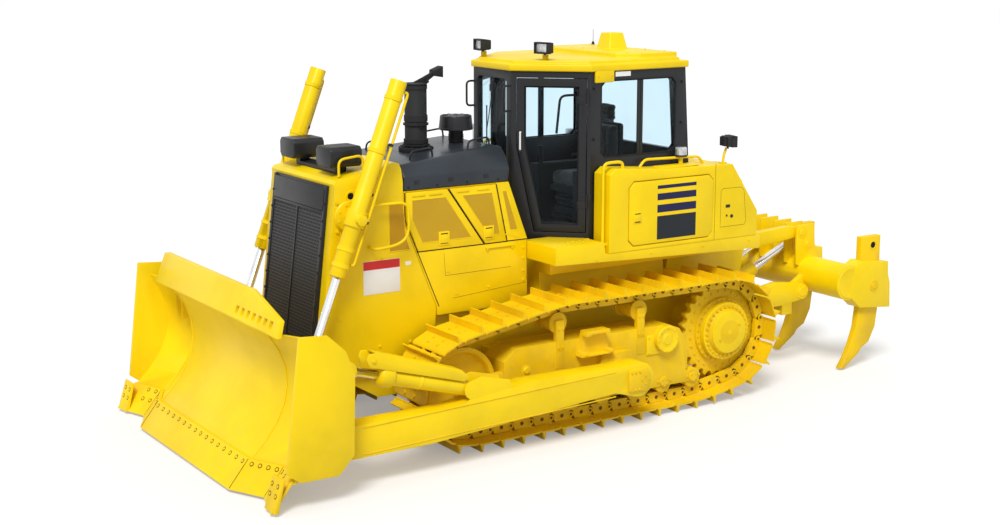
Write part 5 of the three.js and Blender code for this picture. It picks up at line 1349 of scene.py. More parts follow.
@dataclass
class EngineDoor:
    """One latched side door: a leaf with a mesh panel, slots and a latch."""

    place: str
    leaf: tuple[Point, ...] = ()
    mesh: Outline = ()
    slots: Outline = ()
    latch: tuple[float, float] = (0.0, 0.0)
    skin: float = 0.646

    def build(self, side: int, name: str) -> None:
        """Makes the door on one side.

        Args:
            side: 1 on the left, -1 on the right.
            name: "left" or "right".
        """
        node = f"engine_door_{self.place}_{name}"
        out = Vector((side, 0, 0))
        dressed(node, YELLOW, 0.003)
        face = side * (self.skin + 0.0003)
        panel = Piece(f"{node}_mesh", PANEL_MESH)
        panel.plate([at(face, back, z) for back, z in self.mesh], out * 0.0012)
        panel.done(node)
        rim = Piece(f"{node}_trim", YELLOW)
        ring = list(self.mesh)
        for (b0, z0), (b1, z1) in zip(ring, ring[1:] + ring[:1]):
            rim.rod(at(face, b0, z0), at(face, b1, z1), 0.0038, sides=8)
        for back, z in self.slots:
            rim.block(at(face, back, z), at(face + side * 0.006, back + 0.135, z + 0.020), 0.0025)
        back, z = self.latch
        rim.block(at(face - side * 0.002, back, z), at(face + side * 0.008, back + 0.115, z + 0.13),
                  0.004)
        rim.done(node)
        latch = Piece(f"{node}_latch", YELLOW)
        latch.block(at(face + side * 0.006, back + 0.022, z + 0.022),
                    at(face + side * 0.013, back + 0.093, z + 0.100), 0.004)
        latch.done(node)
        # Black slots above and below the latch handle: painted shade in the gaps round it.
        dark = Piece(f"{node}_latch_slot_shade", SHADOW)
        for rise in (0.016, 0.104):
            dark.block(at(face + side * 0.007, back + 0.020, z + rise),
                       at(face + side * 0.0085, back + 0.095, z + rise + 0.010))
        dark.done(node)


def seam_at(z: float) -> float:
    """Where the seam between the guard and the hood runs at a height."""
    return -0.345 + (max(0.0, 2.080 - z)) / 0.840 * 0.345


@dataclass
class Hood:
    """Hood frame, dark cover, engine doors, exhaust and air cleaner."""

    wall: float = 0.640
    top: float = 2.340

    def doors(self) -> None:
        """Makes the four engine doors."""
        def split(z: float) -> float:
            """How far back the seam between the doors is at a height."""
            return 0.092 + (self.top - z) * 0.71

        def rear(z: float) -> float:
            """How far back the rear doors end at a height."""
            return 0.622 + (self.top - z) * 0.22

        low, high = 1.855, 2.255
        front = EngineDoor(
            "front", mesh=((seam_at(low) + 0.085, low), (split(low) - 0.075, low),
                           (split(high) - 0.07, high), (seam_at(high) + 0.075, high),
                           (seam_at(2.08) + 0.075, 2.08)),
            slots=((-0.27, 2.286), (-0.09, 2.286)), latch=(0.005, 1.810))
        back = EngineDoor(
            "rear", mesh=((split(low) + 0.11, low), (rear(low) - 0.055, low),
                          (rear(high) - 0.055, high), (split(high) + 0.11, high)),
            slots=((0.20, 2.286), (0.42, 2.286)), latch=(0.49, 1.815))
        for side, name in ((1, "left"), (-1, "right")):
            front.build(side, name)
            back.build(side, name)

    def lower_panels(self) -> None:
        """Makes painted shade lines in the plain panels' seams, and the plates and handles under
        the doors.
        """
        for side, name in ((1, "left"), (-1, "right")):
            out = Vector((side, 0, 0))
            face = side * (self.wall + 0.0003)
            # Black lines and strips along the seams between panels: painted shade in the gaps.
            lines = Piece(f"hood_seam_shade_{name}", SHADOW)
            for start, end in (((0.066, 1.732), (0.080, 1.522)), ((0.080, 1.522), (0.80, 1.528)),
                               ((0.980, 1.770), (0.980, 1.380)), ((0.16, 1.30), (0.98, 1.36))):
                lines.rod(at(face, *start), at(face, *end), 0.0014, sides=6)
            for start, end, width in (
                    ((0.104 + 0.014 * 0.71, 2.326), (0.104 + 0.560 * 0.71, 1.780), 0.014),
                    ((-0.343, 2.330), (-0.343, 2.080), 0.010),
                    ((-0.343, 2.080), (0.008, 1.240), 0.010),
                    ((-0.225, 1.7765), (1.02, 1.7765), 0.010),
                    ((0.634 + 0.014 * 0.22, 2.326), (0.634 + 0.560 * 0.22, 1.780), 0.010)):
                upright = start[1] != end[1]
                half = Vector((0, width / 2, 0)) if upright else Vector((0, 0, width / 2))
                low, high = at(face, *start), at(face, *end)
                lines.plate([low - half, high - half, high + half, low + half], out * 0.0008)
            lines.done()
            plates = Piece(f"hood_plates_{name}", YELLOW)
            plates.block(at(face, 0.515, 1.728), at(face + side * 0.014, 0.832, 1.745), 0.004)
            for back in (0.535, 0.812):
                plates.block(at(face, back - 0.01, 1.705), at(face + side * 0.012, back + 0.01,
                                                              1.735), 0.003)
            plates.bolts([at(face, b, z) for b, z in
                          ((0.11, 1.56), (0.94, 1.70), (0.94, 1.60), (0.94, 1.48), (0.94, 1.39),
                           (0.20, 1.34), (0.55, 1.365))], out, 0.010)
            plates.plate([at(face, b, z) for b, z in
                          ((0.700, 1.850), (0.905, 1.850), (0.895, 1.80), (0.905, 1.80),
                           (0.76, 1.800))][:3], out * 0.002)
            plates.done()
            mesh = Piece(f"hood_third_mesh_{name}", PANEL_MESH)
            mesh.plate([at(face, b, z) for b, z in
                        ((0.795, 1.885), (0.870, 1.885), (0.745, 2.255), (0.708, 2.255))],
                       out * 0.0015)
            mesh.done()

    def cover(self) -> None:
        """Makes the cover with its creased shoulders, grab loops and catches."""
        dressed("hood_cover", HOOD_BLACK, 0.018, segments=3)
        dressed("hood_frame", YELLOW, 0.004)
        for side, name in ((1, "left"), (-1, "right")):
            out = Vector((side, 0, 0))
            catches = Piece(f"hood_cover_catches_{name}", BLACK)
            for back in (-0.24, 0.12, 0.50):
                catches.block(at(side * 0.6405, back, 2.395), at(side * 0.6455, back + 0.05, 2.43),
                              0.002)
            catches.bolts([at(side * 0.6403, back, 2.372) for back in (-0.30, 0.0, 0.32, 0.66)],
                          out, 0.008)
            catches.done()
        for number, (x, back) in enumerate(((0.42, -0.16), (0.42, 0.46), (-0.42, -0.16),
                                            (-0.42, 0.46))):
            top = surface_top("hood_cover", x, back)
            end = surface_top("hood_cover", x, back + 0.24)
            rail(f"hood_cover_loop_{number + 1}",
                 [top - Vector((0, 0, 0.004)), top + Vector((0, 0.01, 0.075)),
                  end + Vector((0, -0.01, 0.075)), end - Vector((0, 0, 0.004))], 0.009, BLACK,
                 bend=0.05)

    def exhaust(self) -> None:
        """Makes the exhaust pipe's bands, clamp, flange and rain flap."""
        dressed("exhaust_pipe", EXHAUST_BLACK, 0.003)
        up = Vector((0, 0, 1))
        foot = at(0, 0.150, 0)
        rings = Piece("exhaust_rings", EXHAUST_BLACK)
        r = 0.1045
        for z, reach, half in ((2.665, 0.022, 0.010), (2.70, 0.012, 0.022), (2.86, 0.016, 0.012),
                               (2.915, 0.008, 0.030), (3.205, 0.006, 0.020)):
            centre = foot + up * z
            rings.turned(centre, up, [(r - 0.001, -half), (r + reach, -half + 0.003),
                                      (r + reach, half - 0.003), (r - 0.001, half)], 40)
        rings.bolts(disc_of(foot + up * 2.6455, up, 0.142, 8), up, 0.011)
        clamp = foot + up * 2.86 + Vector((0.118, -0.02, 0))
        rings.block(clamp + Vector((-0.004, -0.012, -0.010)), clamp + Vector((0.022, 0.012, 0.010)),
                    0.002)
        rings.rod(clamp + Vector((0.010, -0.024, 0)), clamp + Vector((0.010, 0.030, 0)), 0.006,
                  sides=8)
        rings.done()
        dressed("exhaust_flap", EXHAUST_BLACK, 0.003)
        rim = Piece("exhaust_flap_rim", EXHAUST_BLACK)
        rim.turned(foot + up * 3.2425, up, [(0.0, 0.005), (0.06, 0.004), (0.098, 0.001),
                                            (0.1115, -0.004), (0.1117, -0.010), (0.109, -0.010)],
                   40)
        rim.done("exhaust_flap")

    def air_cleaner(self) -> None:
        """Makes the air cleaner's drum, clamp and ribbed stem."""
        dressed("air_cleaner", BLACK, 0.006, segments=3)
        up = Vector((0, 0, 1))
        foot = at(0, 0.590, 0)
        parts = Piece("air_cleaner_fittings", BLACK)
        for z in (2.672, 2.690, 2.708, 2.726):
            parts.turned(foot + up * z, up, [(0.069, -0.006), (0.077, -0.002), (0.077, 0.002),
                                             (0.069, 0.006)], 32)
        parts.turned(foot + up * 2.795, up, [(0.160, -0.010), (0.1645, -0.006), (0.1645, 0.006),
                                             (0.160, 0.010)], 40)
        for spot in disc_of(foot + up * 2.9152, up, 0.118, 12):
            way = Vector((spot.x - foot.x, spot.y - foot.y, 0)).normalized()
            parts.rod(spot - way * 0.03, spot + way * 0.025, 0.004, sides=6)
        parts.turned(foot + up * 2.9145, up, [(0.0, 0.010), (0.022, 0.010), (0.028, 0.004),
                                              (0.060, 0.002), (0.064, -0.002)], 32)
        parts.done()

    def build(self) -> None:
        """Makes the whole hood."""
        self.cover()
        self.doors()
        self.lower_panels()
        dressed("engine_block", CAST, 0.01)
        self.exhaust()
        self.air_cleaner()


def surface_top(node: str, x: float, back: float) -> Vector:
    """The highest place on a node above a point of the plan."""
    met = cast(node, at(x, back, 6.0), Vector((0, 0, -1)))
    return met[0] if met else at(x, back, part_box(node)[1].z)


# ---- cab ---------------------------------------------------------------------------------
@dataclass
class Cab:
    """Cab with its doors, glass, wiper, seat and roof fittings."""

    pillar: tuple[float, float] = (0.850, 1.560)
    front: tuple[float, float] = (0.330, 1.000)
    top: float = 3.340
    rear: float = 2.700

    def on_door(self, side: int, along: float, z: float, out: float = 0.0) -> Vector:
        """A place on a door's outer face.

        Args:
            side: 1 on the left, -1 on the right.
            along: Distance forwards from the door pillar.
            z: Height.
            out: Distance out from the face.
        """
        ahead = Vector((self.front[0] - self.pillar[0], self.front[1] - self.pillar[1]))
        ahead.normalize()
        return at(side * (self.pillar[0] + ahead.x * along - ahead.y * out),
                  self.pillar[1] + ahead.y * along + ahead.x * out, z)

    def door(self, side: int, name: str) -> None:
        """Makes one door with its glass, seal, handle, hinges and bolts.

        Args:
            side: 1 on the left, -1 on the right.
            name: "left" or "right".
        """
        body = f"cab_door_{name}"
        dressed(f"cab_door_{name}", BLACK, 0.006, segments=3)
        dressed(f"door_glass_{name}", CLEAR, 0.0)
        out = (self.on_door(side, 0.3, 2, 1.0) - self.on_door(side, 0.3, 2)).normalized()
        handle = Piece(f"cab_door_handle_{name}", WHITE)
        path = [self.on_door(side, 0.668, 2.76, -0.004), self.on_door(side, 0.668, 2.76, 0.030),
                self.on_door(side, 0.668, 2.60, 0.030), self.on_door(side, 0.668, 2.60, -0.004)]
        for start, end in zip(path, path[1:]):
            handle.rod(start, end, 0.0095, sides=14)
        handle.done(body)
        plates = Piece(f"cab_door_fittings_{name}", BLACK)
        for z in (2.74, 2.58):
            spot = self.on_door(side, 0.668, z, 0.0)
            plates.rod(spot - out * 0.002, spot + out * 0.006, 0.021, sides=20)
        plates.bolts([self.on_door(side, u, z, 0.0) for u in (0.075,)
                      for z in (2.15, 2.20, 3.0, 2.95)], out, 0.008)
        for z in (2.075, 3.075, 2.5):
            spot = self.on_door(side, 0.058, z, -0.030)
            plates.rod(spot - Vector((0, 0, 0.055)), spot + Vector((0, 0, 0.055)), 0.017, sides=16)
        plates.done(body)
        seal = Piece(f"cab_door_seal_{name}", RUBBER)
        wall = math.hypot(self.pillar[0] - self.front[0], self.pillar[1] - self.front[1])
        inset = 0.076
        ring = [(0.04 + inset, 1.81 + inset), (wall - 0.232 - inset + 0.012, 1.81 + inset),
                (wall - 0.060 - inset, 2.640), (wall - 0.060 - inset, 3.270 - inset),
                (0.04 + inset, 3.270 - inset)]
        for (u0, z0), (u1, z1) in zip(ring, ring[1:] + ring[:1]):
            seal.rod(self.on_door(side, u0, z0, -0.022), self.on_door(side, u1, z1, -0.022), 0.010,
                     sides=10)
        seal.done(body)

    def windows(self) -> None:
        """Makes the panes with their rubber seals and the sliding window's bars."""
        for node in ("windshield", "rear_window", "side_window_left", "side_window_right"):
            dressed(node, CLEAR, 0.0)
        seal = Piece("window_seals", RUBBER)
        bars = Piece("sliding_window_bars", BLACK)
        for side in (-1, 1):
            x = side * (self.pillar[0] - 0.008)
            low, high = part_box("side_window_left")
            front, back = low.y + 0.004, high.y - 0.004
            corners = [Vector((x, front, low.z + 0.05)), Vector((x, front + 0.05, low.z)),
                       Vector((x, back - 0.05, low.z)), Vector((x, back, low.z + 0.05)),
                       Vector((x, back, high.z - 0.05)), Vector((x, back - 0.05, high.z)),
                       Vector((x, front + 0.05, high.z)), Vector((x, front, high.z - 0.05))]
            for start, end in zip(corners, corners[1:] + corners[:1]):
                seal.rod(start, end, 0.011, sides=10)
            middle = (front + back) / 2 + 0.02
            for shift in (-0.018, 0.018):
                bars.block(Vector((x - 0.012, middle + shift - 0.016, low.z + 0.01)),
                           Vector((x + 0.003, middle + shift + 0.016, high.z - 0.01)), 0.003)
        seal.done()
        bars.done()

    def wipers(self) -> None:
        """Makes a wiper on the windscreen."""
        arm = Piece("windscreen_wiper", TRIM)
        low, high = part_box("windshield")
        face = low.y - 0.004
        root = Vector((0.02, face - 0.010, high.z - 0.03))
        tip = Vector((-0.10, face - 0.012, high.z - 0.52))
        arm.rod(root - Vector((0, -0.016, 0)), root + Vector((0, -0.014, 0)), 0.020, sides=16)
        arm.rod(root, tip, 0.006, 0.004, 10)
        arm.block(tip + Vector((-0.006, -0.006, -0.24)), tip + Vector((0.006, 0.004, 0.24)), 0.002)
        arm.done()

    def seat(self) -> None:
        """Makes the seat: pads, shell, suspension and armrests."""
        low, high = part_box("operator_seat")
        middle = (low.x + high.x) / 2
        stand = Piece("seat_suspension", TRIM)
        front, back = low.y, high.y
        stand.block(Vector((middle - 0.20, front + 0.06, low.z)),
                    Vector((middle + 0.20, back - 0.10, low.z + 0.07)), 0.012)
        for step in range(5):
            z = low.z + 0.07 + step * 0.045
            grow = 0.014 * (step % 2)
            stand.block(Vector((middle - 0.175 - grow, front + 0.09 - grow, z)),
                        Vector((middle + 0.175 + grow, back - 0.14 + grow, z + 0.044)), 0.010)
        stand.block(Vector((middle - 0.22, front + 0.04, low.z + 0.30)),
                    Vector((middle + 0.22, back - 0.07, low.z + 0.37)), 0.02)
        stand.block(Vector((middle - 0.19, back - 0.075, low.z + 0.34)),
                    Vector((middle + 0.19, back - 0.010, low.z + 0.98)), 0.03)
        for side in (-1, 1):
            x = middle + side * 0.228
            stand.block(Vector((x - 0.020, back - 0.36, low.z + 0.60)),
                        Vector((x + 0.020, back - 0.08, low.z + 0.65)), 0.015)
        stand_done = stand.done()
        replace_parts(stand_done, "operator_seat")
        pads = {
            "seat_cushion": (Vector((middle - 0.215, front + 0.05, low.z + 0.37)),
                             Vector((middle + 0.215, back - 0.13, low.z + 0.495))),
            "seat_back": (Vector((middle - 0.205, back - 0.175, low.z + 0.46)),
                          Vector((middle + 0.205, back - 0.085, low.z + 0.97))),
            "seat_headrest": (Vector((middle - 0.125, back - 0.150, low.z + 1.01)),
                              Vector((middle + 0.125, back - 0.065, low.z + 1.165))),
        }
        for name, (start, end) in pads.items():
            cushion(name, start, end)

    def roof(self) -> None:
        """Makes the roof with its lamps, bolts, side boxes, tags and aerial."""
        dressed("cab_roof", YELLOW, 0.012, segments=3)
        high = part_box("cab_roof")[1]
        dark = Piece("roof_lamps", TRIM)
        lens = Piece("roof_lamp_lenses", LAMP_LENS)
        mounts = Piece("roof_lamp_mounts", YELLOW)
        for x, back, turn in ((0.43, 1.33, 0.25), (-0.30, 1.10, -0.1)):
            foot = surface_top("cab_roof", x, back)
            self.lamp(dark, lens, foot + Vector((0, 0, 0.115)), turn)
            mounts.block(foot + Vector((-0.022, -0.022, -0.003)),
                         foot + Vector((0.022, 0.022, 0.05)),
                         0.004)
            mounts.bolt(foot + Vector((0.022, 0, 0.03)), Vector((1, 0, 0)), 0.008)
        dark.done()
        lens.done()
        mounts.done()
        bolts = Piece("roof_bolts", YELLOW)
        for x in (-0.62, -0.31, 0.31, 0.62):
            for back in (2.16, 2.62):
                bolts.bolt(surface_top("cab_roof", x, back), Vector((0, 0, 1)), 0.010)
        for back in (2.2, 2.62):
            for x in (-0.17, 0.17):
                bolts.bolt(surface_top("cab_roof", x, back), Vector((0, 0, 1)), 0.008)
        bolts.done()
        side_box = Piece("roof_side_boxes", YELLOW)
        for side in (-1, 1):
            side_box.block(at(side * 0.845, 1.60, 3.235), at(side * 0.873, 1.82, 3.36), 0.010)
            side_box.bolts([at(side * 0.873, back, 3.30) for back in (1.63, 1.79)],
                           Vector((side, 0, 0)), 0.007)
        side_box.done()
        tag = Piece("roof_side_tags", WHITE)
        for side in (-1, 1):
            tag.block(at(side * 0.8602, 1.84, 3.285), at(side * 0.8612, 2.02, 3.330))
        tag.done()
        mast = surface_top("cab_roof", -0.62, 2.66)
        aerial = Piece("roof_aerial", TRIM)
        aerial.rod(mast - Vector((0, 0, 0.004)), mast + Vector((0, 0, 0.03)), 0.018, 0.012, 16)
        aerial.rod(mast + Vector((0, 0, 0.02)), Vector((mast.x, mast.y, high.z - 0.001)), 0.003,
                   0.0022, 8)
        aerial.done()

    def lamp(self, dark: Piece, lens: Piece, centre: Vector, turn: float) -> None:
        """Adds a work lamp: a tapered box with a deep rim, ribs and a lens.

        Args:
            dark: The piece for its housing.
            lens: The piece for its lens.
            centre: The housing's middle.
            turn: Its turn about the upright axis.
        """
        spin = Matrix.Translation(centre) @ Matrix.Rotation(turn, 4, "Z")

        def corner(x: float, y: float, z: float) -> Vector:
            """A point of the turned housing."""
            return spin @ Vector((x, y, z))

        for x0, x1, z0, z1 in ((-0.085, 0.085, 0.042, 0.055), (-0.085, 0.085, -0.055, -0.042),
                               (-0.085, -0.072, -0.055, 0.055), (0.072, 0.085, -0.055, 0.055)):
            dark.plate([corner(x0, -0.075, z0), corner(x1, -0.075, z0), corner(x1, -0.075, z1),
                        corner(x0, -0.075, z1)], corner(0, 0.06, 0) - corner(0, 0, 0), 0.003)
        dark.plate([corner(-0.078, -0.048, -0.050), corner(0.078, -0.048, -0.050),
                    corner(0.078, -0.048, 0.050), corner(-0.078, -0.048, 0.050)],
                   corner(0, 0.075, 0) - corner(0, 0, 0), 0.006)
        for x in (-0.05, -0.025, 0.0, 0.025, 0.05):
            dark.plate([corner(x - 0.003, 0.025, -0.045), corner(x + 0.003, 0.025, -0.045),
                        corner(x + 0.003, 0.025, 0.045), corner(x - 0.003, 0.025, 0.045)],
                       corner(0, 0.028, 0) - corner(0, 0, 0))
        dark.rod(corner(0, -0.01, -0.050), corner(0, -0.01, -0.075), 0.012, sides=12)
        lens.plate([corner(-0.070, -0.056, -0.040), corner(0.070, -0.056, -0.040),
                    corner(0.070, -0.056, 0.040), corner(-0.070, -0.056, 0.040)],
                   corner(0, 0.006, 0) - corner(0, 0, 0), 0.002)

    def frame(self) -> None:
        """Makes the cab's frame with its grab loops, bolts and inner rails, and the control
        console.
        """
        dressed("cab_frame", BLACK, 0.008)
        for side, name in ((1, "left"), (-1, "right")):
            x, back = side * 0.352, 1.005
            front = Vector((0, -1, 0))
            base = at(x * 0.93, back - 0.003, 0)
            rail(f"cab_grab_loop_{name}",
                 [base + Vector((0, 0, 3.20)), base + front * 0.085 + Vector((0, 0, 3.20)),
                  base + front * 0.085 + Vector((0, 0, 2.96)), base + Vector((0, 0, 2.96))],
                 0.0105, BLACK, bend=0.04)
            bolts = Piece(f"cab_frame_bolts_{name}", BLACK)
            bolts.bolts([at(side * 0.8602, b, z) for b, z in
                         ((1.60, 3.18), (1.60, 2.70), (1.60, 2.30), (2.66, 3.2), (2.66, 2.8),
                          (2.66, 2.45))], Vector((side, 0, 0)), 0.009)
            bolts.done()
            rail(f"cab_inner_rail_{name}",
                 [at(side * 0.775, 1.60, 3.18), at(side * 0.72, 1.60, 3.12),
                  at(side * 0.55, 1.42, 3.10), at(side * 0.52, 1.40, 2.74)], 0.012, TRIM,
                 bend=0.06)
        dressed("control_console", TRIM, 0.01)

    def build(self) -> None:
        """Makes the whole cab."""
        self.frame()
        for side, name in ((1, "left"), (-1, "right")):
            self.door(side, name)
        self.windows()
        self.wipers()
        self.roof()
        self.seat()


def cushion(name: str, low: Vector, high: Vector) -> None:
    """Makes a padded cushion: a rounded block blown up as cloth, then pulled in at its seams.

    Args:
        name: The piece's name.
        low: The block's lowest corner.
        high: The block's highest corner.
    """
    form = bmesh.new()
    size = high - low
    place = Matrix.Translation((low + high) / 2) @ Matrix.Diagonal((*size, 1.0))
    bmesh.ops.create_cube(form, size=1.0, matrix=place)
    bmesh.ops.bevel(form, geom=form.edges[:], offset=min(size) * 0.28, segments=3, profile=0.5,
                    affect="EDGES", material=-1)
    data = bpy.data.meshes.new(name)
    form.to_mesh(data)
    form.free()
    holder = bpy.data.objects.new(f"{name}_form", data)
    bpy.context.scene.collection.objects.link(holder)
    remesh = holder.modifiers.new("Remesh", "REMESH")
    remesh.mode = "VOXEL"
    remesh.voxel_size = 0.006
    bpy.context.view_layer.update()
    solid = bpy.data.meshes.new_from_object(
        holder.evaluated_get(bpy.context.evaluated_depsgraph_get()))
    holder.modifiers.clear()
    holder.data = solid
    rest = [vert.co.copy() for vert in solid.vertices]
    cloth = holder.modifiers.new("Cloth", "CLOTH")
    cloth.settings.use_pressure = True
    cloth.settings.uniform_pressure_force = 4.0
    cloth.settings.effector_weights.gravity = 0.0
    cloth.settings.quality = 4
    cloth.point_cache.frame_start, cloth.point_cache.frame_end = 1, 20
    for number in range(1, 21):
        bpy.context.scene.frame_set(number)
    blown = bpy.data.meshes.new_from_object(
        holder.evaluated_get(bpy.context.evaluated_depsgraph_get()))
    moved = [vert.co.copy() for vert in blown.vertices]
    bpy.context.scene.frame_set(1)
    bpy.data.meshes.remove(blown)
    cap = 0.012
    seams = [low.z + size.z * share for share in (0.3, 0.62)] if size.z > size.y else []
    channels = [low.x + size.x * share for share in (0.24, 0.76)]
    for vert, before, after in zip(solid.vertices, rest, moved):
        step = after - before
        if step.length > cap:
            step = step.normalized() * cap
        spot = before + step
        pull = 0.0
        for line in channels:
            pull = max(pull, 1 - abs(spot.x - line) / 0.012)
        for line in seams:
            pull = max(pull, 1 - abs(spot.z - line) / 0.012)
        if pull > 0:
            middle = (low + high) / 2
            inward = middle - spot
            if size.z > size.y:
                spot.y += math.copysign(0.010 * pull ** 2, inward.y)
            else:
                spot.z += math.copysign(0.010 * pull ** 2, inward.z)
        vert.co = spot
    bpy.data.objects.remove(holder)
    solid.name = name
    thing = settle(name, solid, SEAT_CLOTH, "root")


# ---- side boxes, deck and hull -----------------------------------------------------------
@dataclass
class SideBoxes:
    """The boxes beside and behind the cab, their rails, films, deck and hull."""

    face: float = 1.120
    door_face: float = 1.124

    def films(self) -> None:
        """Makes the stripes and the blank dark panel on each box."""
        for side, name in ((1, "left"), (-1, "right")):
            body = "console_door" if side > 0 else "root"
            face = self.door_face if side > 0 else self.face
            film = Piece(f"box_stripes_{name}", NAVY)
            for z0, z1 in ((2.215, 2.248), (2.105, 2.170), (1.985, 2.060)):
                film.block(at(side * (face - 0.0005), 2.165, z0),
                           at(side * (face + 0.0010), 2.645, z1))
            film.done(body)
            panel = Piece(f"box_panel_{name}", PANEL_BLACK)
            panel.block(at(side * (face - 0.0005), 2.165, 1.722),
                        at(side * (face + 0.0010), 2.645, 1.950))
            panel.done(body)

    def latches(self) -> None:
        """Makes the store door with its latch and seam, and the rear access panels."""
        dressed("console_door", YELLOW, 0.004, segments=3)
        latch = Piece("console_door_latch", YELLOW)
        x = self.door_face
        latch.block(at(x - 0.001, 1.875, 1.905), at(x + 0.006, 1.975, 2.015), 0.003)
        latch.block(at(x + 0.004, 1.897, 1.925), at(x + 0.010, 1.955, 1.985), 0.003)
        latch.done("console_door")
        # Black slots above and below the latch handle: painted shade in the gaps round it.
        slots = Piece("console_door_latch_slot_shade", SHADOW)
        slots.block(at(x + 0.005, 1.892, 1.912), at(x + 0.0068, 1.958, 1.921))
        slots.block(at(x + 0.005, 1.892, 1.992), at(x + 0.0068, 1.958, 2.001))
        slots.done("console_door")
        for side, name in ((1, "left"), (-1, "right")):
            # Black lines round the access panels and along the seams: painted shade in the gaps.
            lines = Piece(f"box_seam_shade_{name}", SHADOW)
            face = side * (self.face + 0.0002)
            lines.rod(at(face, 2.890, 1.645), at(face, 2.890, 2.405), 0.0016, sides=6)
            ring = [(2.965, 1.765), (2.965, 2.125), (2.990, 2.150), (3.230, 2.145), (3.265, 2.110),
                    (3.300, 1.800), (3.275, 1.765)]
            if side < 0:
                ring_two = [(1.83, 1.72), (1.83, 2.27), (1.86, 2.30), (2.83, 2.30), (2.86, 2.27),
                            (2.86, 1.72), (2.83, 1.69), (1.86, 1.69)]
                for start, end in zip(ring_two, ring_two[1:] + ring_two[:1]):
                    lines.rod(at(face, *start), at(face, *end), 0.0016, sides=6)
            for start, end in zip(ring, ring[1:] + ring[:1]):
                lines.rod(at(face, *start), at(face, *end), 0.0014, sides=6)
            lines.done()
            small = Piece(f"box_fittings_{name}", TRIM)
            small.block(at(face, 3.03, 1.955), at(face + side * 0.003, 3.085, 1.985), 0.001)
            small.rod(at(face, 3.11, 1.865), at(face + side * 0.003, 3.11, 1.865), 0.018, sides=20)
            small.rod(at(face, 3.045, 1.875), at(face + side * 0.004, 3.045, 1.875), 0.010,
                      sides=16)
            small.done()

    def rails(self) -> None:
        """Makes the handrails on the boxes' front edges and tops."""
        for side, name in ((1, "left"), (-1, "right")):
            x = side * 1.055
            rail(f"box_front_rail_{name}",
                 [at(x, 1.603, 1.72), at(x, 1.565, 1.72), at(x, 1.565, 2.455), at(x, 1.595, 2.500),
                  at(x, 1.79, 2.500), at(x, 1.79, 2.425)], 0.0155, YELLOW, bend=0.06)
            inner = side * 0.915
            top = [surface_top(f"console_{name}", inner, back).z for back in (2.15, 2.85)]
            rail(f"box_top_rail_{name}",
                 [at(inner, 2.10, top[0] - 0.004), at(inner, 2.16, top[0] + 0.07),
                  at(inner, 2.84, top[1] + 0.07), at(inner, 2.90, top[1] - 0.006)], 0.0135, YELLOW,
                 bend=0.05)
            hatch = Piece(f"box_hatch_{name}", YELLOW)
            spot = surface_top(f"console_{name}", side * 1.0, 2.30)
            hatch.block(spot + Vector((-0.07, -0.05, -0.003)), spot + Vector((0.07, 0.42, 0.012)),
                        0.005)
            hatch.done()
            self.rear_lamp(side, name)

    def rear_lamp(self, side: int, name: str) -> None:
        """Makes the lamp on a post at the box's rear, and the clear one beside the cab.

        Args:
            side: 1 on the left, -1 on the right.
            name: "left" or "right".
        """
        cab = Cab()
        dark = Piece(f"rear_lamp_{name}", TRIM)
        lens = Piece(f"rear_lamp_lens_{name}", LAMP_LENS)
        post = Piece(f"rear_lamp_post_{name}", YELLOW)
        foot = surface_top(f"console_{name}", side * 1.02, 3.06)
        post.rod(foot - Vector((0, 0, 0.005)), foot + Vector((0, 0.02, 0.10)), 0.013, sides=14)
        post.rod(foot + Vector((0, 0.02, 0.095)), foot + Vector((0, 0.045, 0.15)), 0.013, sides=14)
        post.block(foot + Vector((-0.03, -0.03, -0.002)), foot + Vector((0.03, 0.03, 0.010)), 0.003)
        post.bolts([foot + Vector((dx, dy, 0.010)) for dx in (-0.02, 0.02) for dy in (-0.02, 0.02)],
                   Vector((0, 0, 1)), 0.005)
        cab.lamp(dark, lens, foot + Vector((0, 0.05, 0.215)), 2.9 if side > 0 else 3.4)
        second = surface_top(f"console_{name}", side * 0.93, 2.60)
        post.rod(second - Vector((0, 0, 0.005)), second + Vector((0, 0, 0.085)), 0.022, sides=16)
        glass = Piece(f"side_lamp_lens_{name}", LAMP_LENS)
        ring = Piece(f"side_lamp_{name}", TRIM)
        top = second + Vector((0, 0, 0.085))
        glass.turned(top, Vector((0, 0, 1)), [(0.0, 0.095), (0.045, 0.093), (0.058, 0.080),
                                              (0.060, 0.016), (0.0, 0.016)], 32)
        ring.turned(top, Vector((0, 0, 1)), [(0.0, 0.0), (0.060, 0.0), (0.066, 0.004),
                                             (0.066, 0.016), (0.0, 0.016)], 32)
        glass.done()
        ring.done()
        dark.done()
        lens.done()
        post.done()

